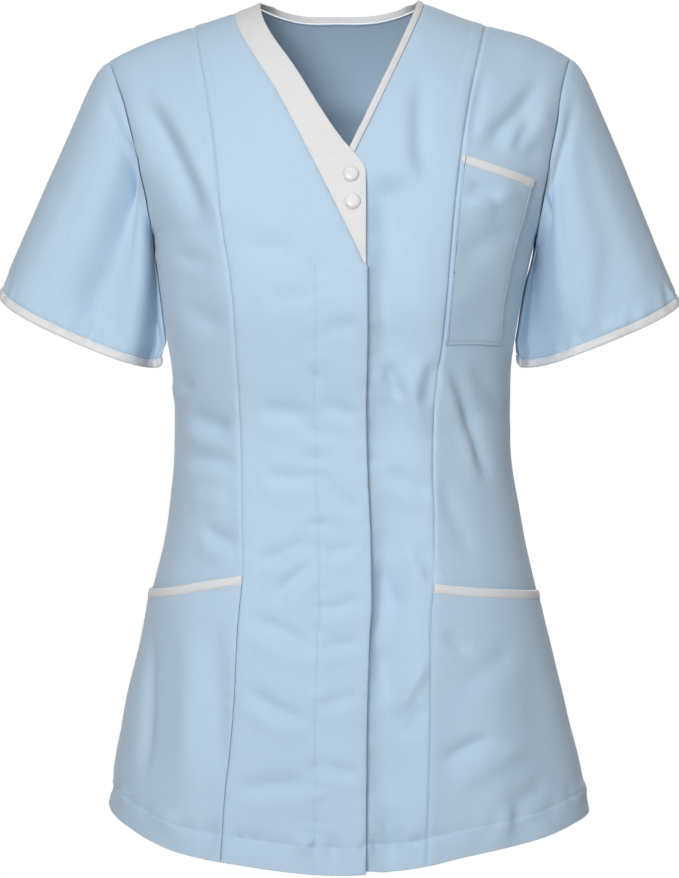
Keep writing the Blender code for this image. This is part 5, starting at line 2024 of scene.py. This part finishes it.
@dataclass
class Stitching:
    """Rows of short stitches, set along their lines by Geometry Nodes."""

    pitch: float = 0.0031
    length: float = 0.0023
    radius: float = 0.00022
    seed: int = 7

    SHORT, LONG = 0.86, 1.08  # the shortest and the longest stitch, against the usual one

    def tree(self, material: bpy.types.Material) -> bpy.types.GeometryNodeTree:
        """The node tree that turns lines into rows of stitches.

        Args:
            material: the thread's material.

        Returns:
            The tree.
        """
        tree = bpy.data.node_groups.new("stitches", "GeometryNodeTree")
        tree.interface.new_socket("Geometry", in_out="INPUT", socket_type="NodeSocketGeometry")
        tree.interface.new_socket("Geometry", in_out="OUTPUT", socket_type="NodeSocketGeometry")
        for name in ("Pitch", "Stitch Length", "Thread Radius"):
            tree.interface.new_socket(name, in_out="INPUT", socket_type="NodeSocketFloat")
        tree.interface.new_socket("Seed", in_out="INPUT", socket_type="NodeSocketInt")
        board = NodeBoard(tree)
        given = board.add("NodeGroupInput").outputs
        curve = board.add("GeometryNodeMeshToCurve", {0: given["Geometry"]}).outputs[0]
        spacing = {0: curve, "Length": given["Pitch"]}
        points = board.add("GeometryNodeCurveToPoints", spacing, mode="LENGTH").outputs
        ball = board.add("GeometryNodeMeshUVSphere", {"Segments": 6, "Rings": 5}).outputs["Mesh"]
        half = board.math("DIVIDE", given["Stitch Length"], 2.0)
        radius = given["Thread Radius"]
        size = board.add("ShaderNodeCombineXYZ", {"X": radius, "Y": radius, "Z": half}).outputs[0]
        draw = {2: self.SHORT, 3: self.LONG, "Seed": given["Seed"]}  # 2 and 3 are the least and the most
        vary = board.add("FunctionNodeRandomValue", draw).outputs[1]
        scaled = board.add("ShaderNodeVectorMath", {0: size, "Scale": vary}, operation="SCALE").outputs[0]
        ahead = {"Vector": points["Tangent"]}
        turn = board.add("FunctionNodeAlignRotationToVector", ahead, axis="Z").outputs[0]
        placed = board.add(
            "GeometryNodeInstanceOnPoints",
            {"Points": points["Points"], "Instance": ball, "Rotation": turn, "Scale": scaled},
        ).outputs[0]
        real = board.add("GeometryNodeRealizeInstances", {0: placed}).outputs[0]
        finish = board.add("GeometryNodeSetMaterial", {0: real, "Material": material}).outputs[0]
        board.add("NodeGroupOutput", {0: finish})
        return tree

    def sew(self, name: str, paths: list[Array], finish: SmoothFinish, slot: Slot) -> None:
        """Makes one piece of all the stitches along some lines.

        Args:
            name: the piece's name.
            paths: the lines, each as points.
            finish: the thread.
            slot: the material slot it belongs to.
        """
        points = np.concatenate(paths)
        edges, start = [], 0
        for path in paths:
            edges += [(start + k, start + k + 1) for k in range(len(path) - 1)]
            start += len(path)
        lines = bpy.data.meshes.new(name + "_lines")
        lines.from_pydata(points.tolist(), edges, [])
        guide = bpy.data.objects.new(name + "_guide", lines)
        bpy.context.scene.collection.objects.link(guide)
        tree = self.tree(finish.material())
        modifier = guide.modifiers.new("stitches", "NODES")
        modifier.node_group = tree
        values = {"Pitch": self.pitch, "Stitch Length": self.length, "Thread Radius": self.radius}
        values["Seed"] = self.seed
        for item in tree.interface.items_tree:
            if item.in_out == "INPUT" and item.name in values:
                modifier[item.identifier] = values[item.name]
        depsgraph = bpy.context.evaluated_depsgraph_get()
        mesh = bpy.data.meshes.new_from_object(guide.evaluated_get(depsgraph), depsgraph=depsgraph)
        bpy.data.objects.remove(guide)
        mesh.shade_smooth()
        if not mesh.materials:
            mesh.materials.append(finish.material())
        piece = bpy.data.objects.new(name, mesh)
        bpy.context.scene.collection.objects.link(piece)
        report(piece, slot)


# ---------------------------------------------------------------- the studio


@dataclass
class Studio:
    """A pale floor, soft front light and the photograph's camera."""

    middle_z: float = -0.371
    distance: float = 3.0
    lens: float = 145.2
    floor_z: float = -1.42
    floor_half: float = 2.5
    surround: float = 0.13  # the strength of the surround's light on the top

    def build(self) -> None:
        """Sets the studio up."""
        self.floor()
        self.world()
        self.light("key", (-0.52, -2.10, 0.20), (0.75, 0.9), 7.0, 80)
        self.light("left", (-1.6, -0.85, 0.10), (0.4, 0.9), 0.6)
        self.light("right", (1.5, -1.10, 0.00), (0.4, 0.9), 3.3)
        self.light("top", (-0.1, -0.9, 1.7), (0.8, 0.8), 11)
        self.light("back", (0.5, 1.9, 0.35), (1.0, 1.0), 22)
        self.light("floor_wash", (0.0, 0.0, -0.98), (3.2, 3.2), 10, aim=(0, 0, -2))
        self.camera()
        bpy.context.scene.view_settings.view_transform = "Standard"

    def floor(self) -> None:
        """Lays a plain pale floor far below the top."""
        grid = np.linspace(-self.floor_half, self.floor_half, 3)
        x, y = np.meshgrid(grid, grid)
        points = np.stack([x.ravel(), y.ravel(), np.full(9, self.floor_z)], axis=1)
        faces = np.array([[0, 1, 4, 3], [1, 2, 5, 4], [3, 4, 7, 6], [4, 5, 8, 7]])
        make_mesh_object("floor", points, faces, FLOOR_FINISH.material())

    def world(self) -> None:
        """A white surround for the camera that lights the top softly."""
        world = bpy.data.worlds.new("surround")
        bpy.context.scene.world = world
        world.use_nodes = True
        board = NodeBoard(world.node_tree)
        seen = board.add("ShaderNodeLightPath").outputs["Is Camera Ray"]
        strength = board.add("ShaderNodeMapRange", {"Value": seen, "To Min": self.surround, "To Max": 1.0})
        back = board.tree.nodes["Background"].inputs
        board.fill(back["Color"], (1, 1, 1, 1))
        board.fill(back["Strength"], strength.outputs[0])

    def light(
        self, name: str, place: tuple[float, float, float], size: tuple[float, float], power: float,
        spread: float = 180, aim: tuple[float, float, float] = (0, 0, -0.371),
    ) -> None:
        """A softbox.

        Args:
            name: its name.
            place: where it stands.
            size: its width and height.
            power: its watts.
            spread: the angle that its grid lets out, in degrees.
            aim: where it points, which is the middle of the top for most.
        """
        data = bpy.data.lights.new(name, "AREA")
        data.shape, data.energy, data.spread = "RECTANGLE", power, math.radians(spread)
        data.size, data.size_y = size
        lamp = bpy.data.objects.new(name, data)
        lamp.location = place
        lamp.rotation_euler = (Vector(aim) - lamp.location).to_track_quat("-Z", "Y").to_euler()
        bpy.context.scene.collection.objects.link(lamp)

    def camera(self) -> None:
        """The photograph's camera, level and straight ahead."""
        data = bpy.data.cameras.new("camera")
        data.sensor_width, data.sensor_fit, data.lens = 36.0, "AUTO", self.lens
        camera = bpy.data.objects.new("camera", data)
        camera.location = (0, -self.distance, self.middle_z)
        camera.rotation_euler = (math.pi / 2, 0, 0)
        bpy.context.scene.collection.objects.link(camera)
        bpy.context.scene.camera = camera


# ---------------------------------------------------------------- the whole top


@dataclass
class ScrubTop:
    """The whole top: panels, pockets, neck trims, sleeves, studs and stitches."""

    tailor: Tailor
    studs: tuple[tuple[str, float, float], ...] = (
        ("stud_cap_upper", 0.0094, -0.1547), ("stud_cap_lower", 0.0107, -0.1775),
    )

    def build(self) -> None:
        """Makes every piece."""
        body, pockets, trims = Body(self.tailor), Pockets(self.tailor), NeckTrims(self.tailor)
        sleeves = [Sleeve(self.tailor, side) for side in Side]
        for part in (body, pockets, trims, *sleeves):
            part.build()
        for name, x, z in self.studs:
            StudCap(self.tailor, name, x, z).build()
        stitching = Stitching()
        stitching.sew("blue_stitching", body.paths + pockets.paths, BLUE_THREAD, Slot.BLUE)
        white = pockets.binding_paths + trims.paths + [path for sleeve in sleeves for path in sleeve.paths]
        stitching.sew("white_stitching", white, WHITE_THREAD, Slot.WHITE)


def plain(box: object) -> list:
    """A box as plain lists of numbers."""
    return [[round(float(value), 5) for value in corner] for corner in box]


def main() -> None:
    """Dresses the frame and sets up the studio."""
    logging.basicConfig(level=logging.INFO, format="%(name)s: %(message)s")
    form = BodyForm()
    ScrubTop(Tailor(form, Relief(form))).build()
    Studio().build()


if __name__ == "__main__":
    main()
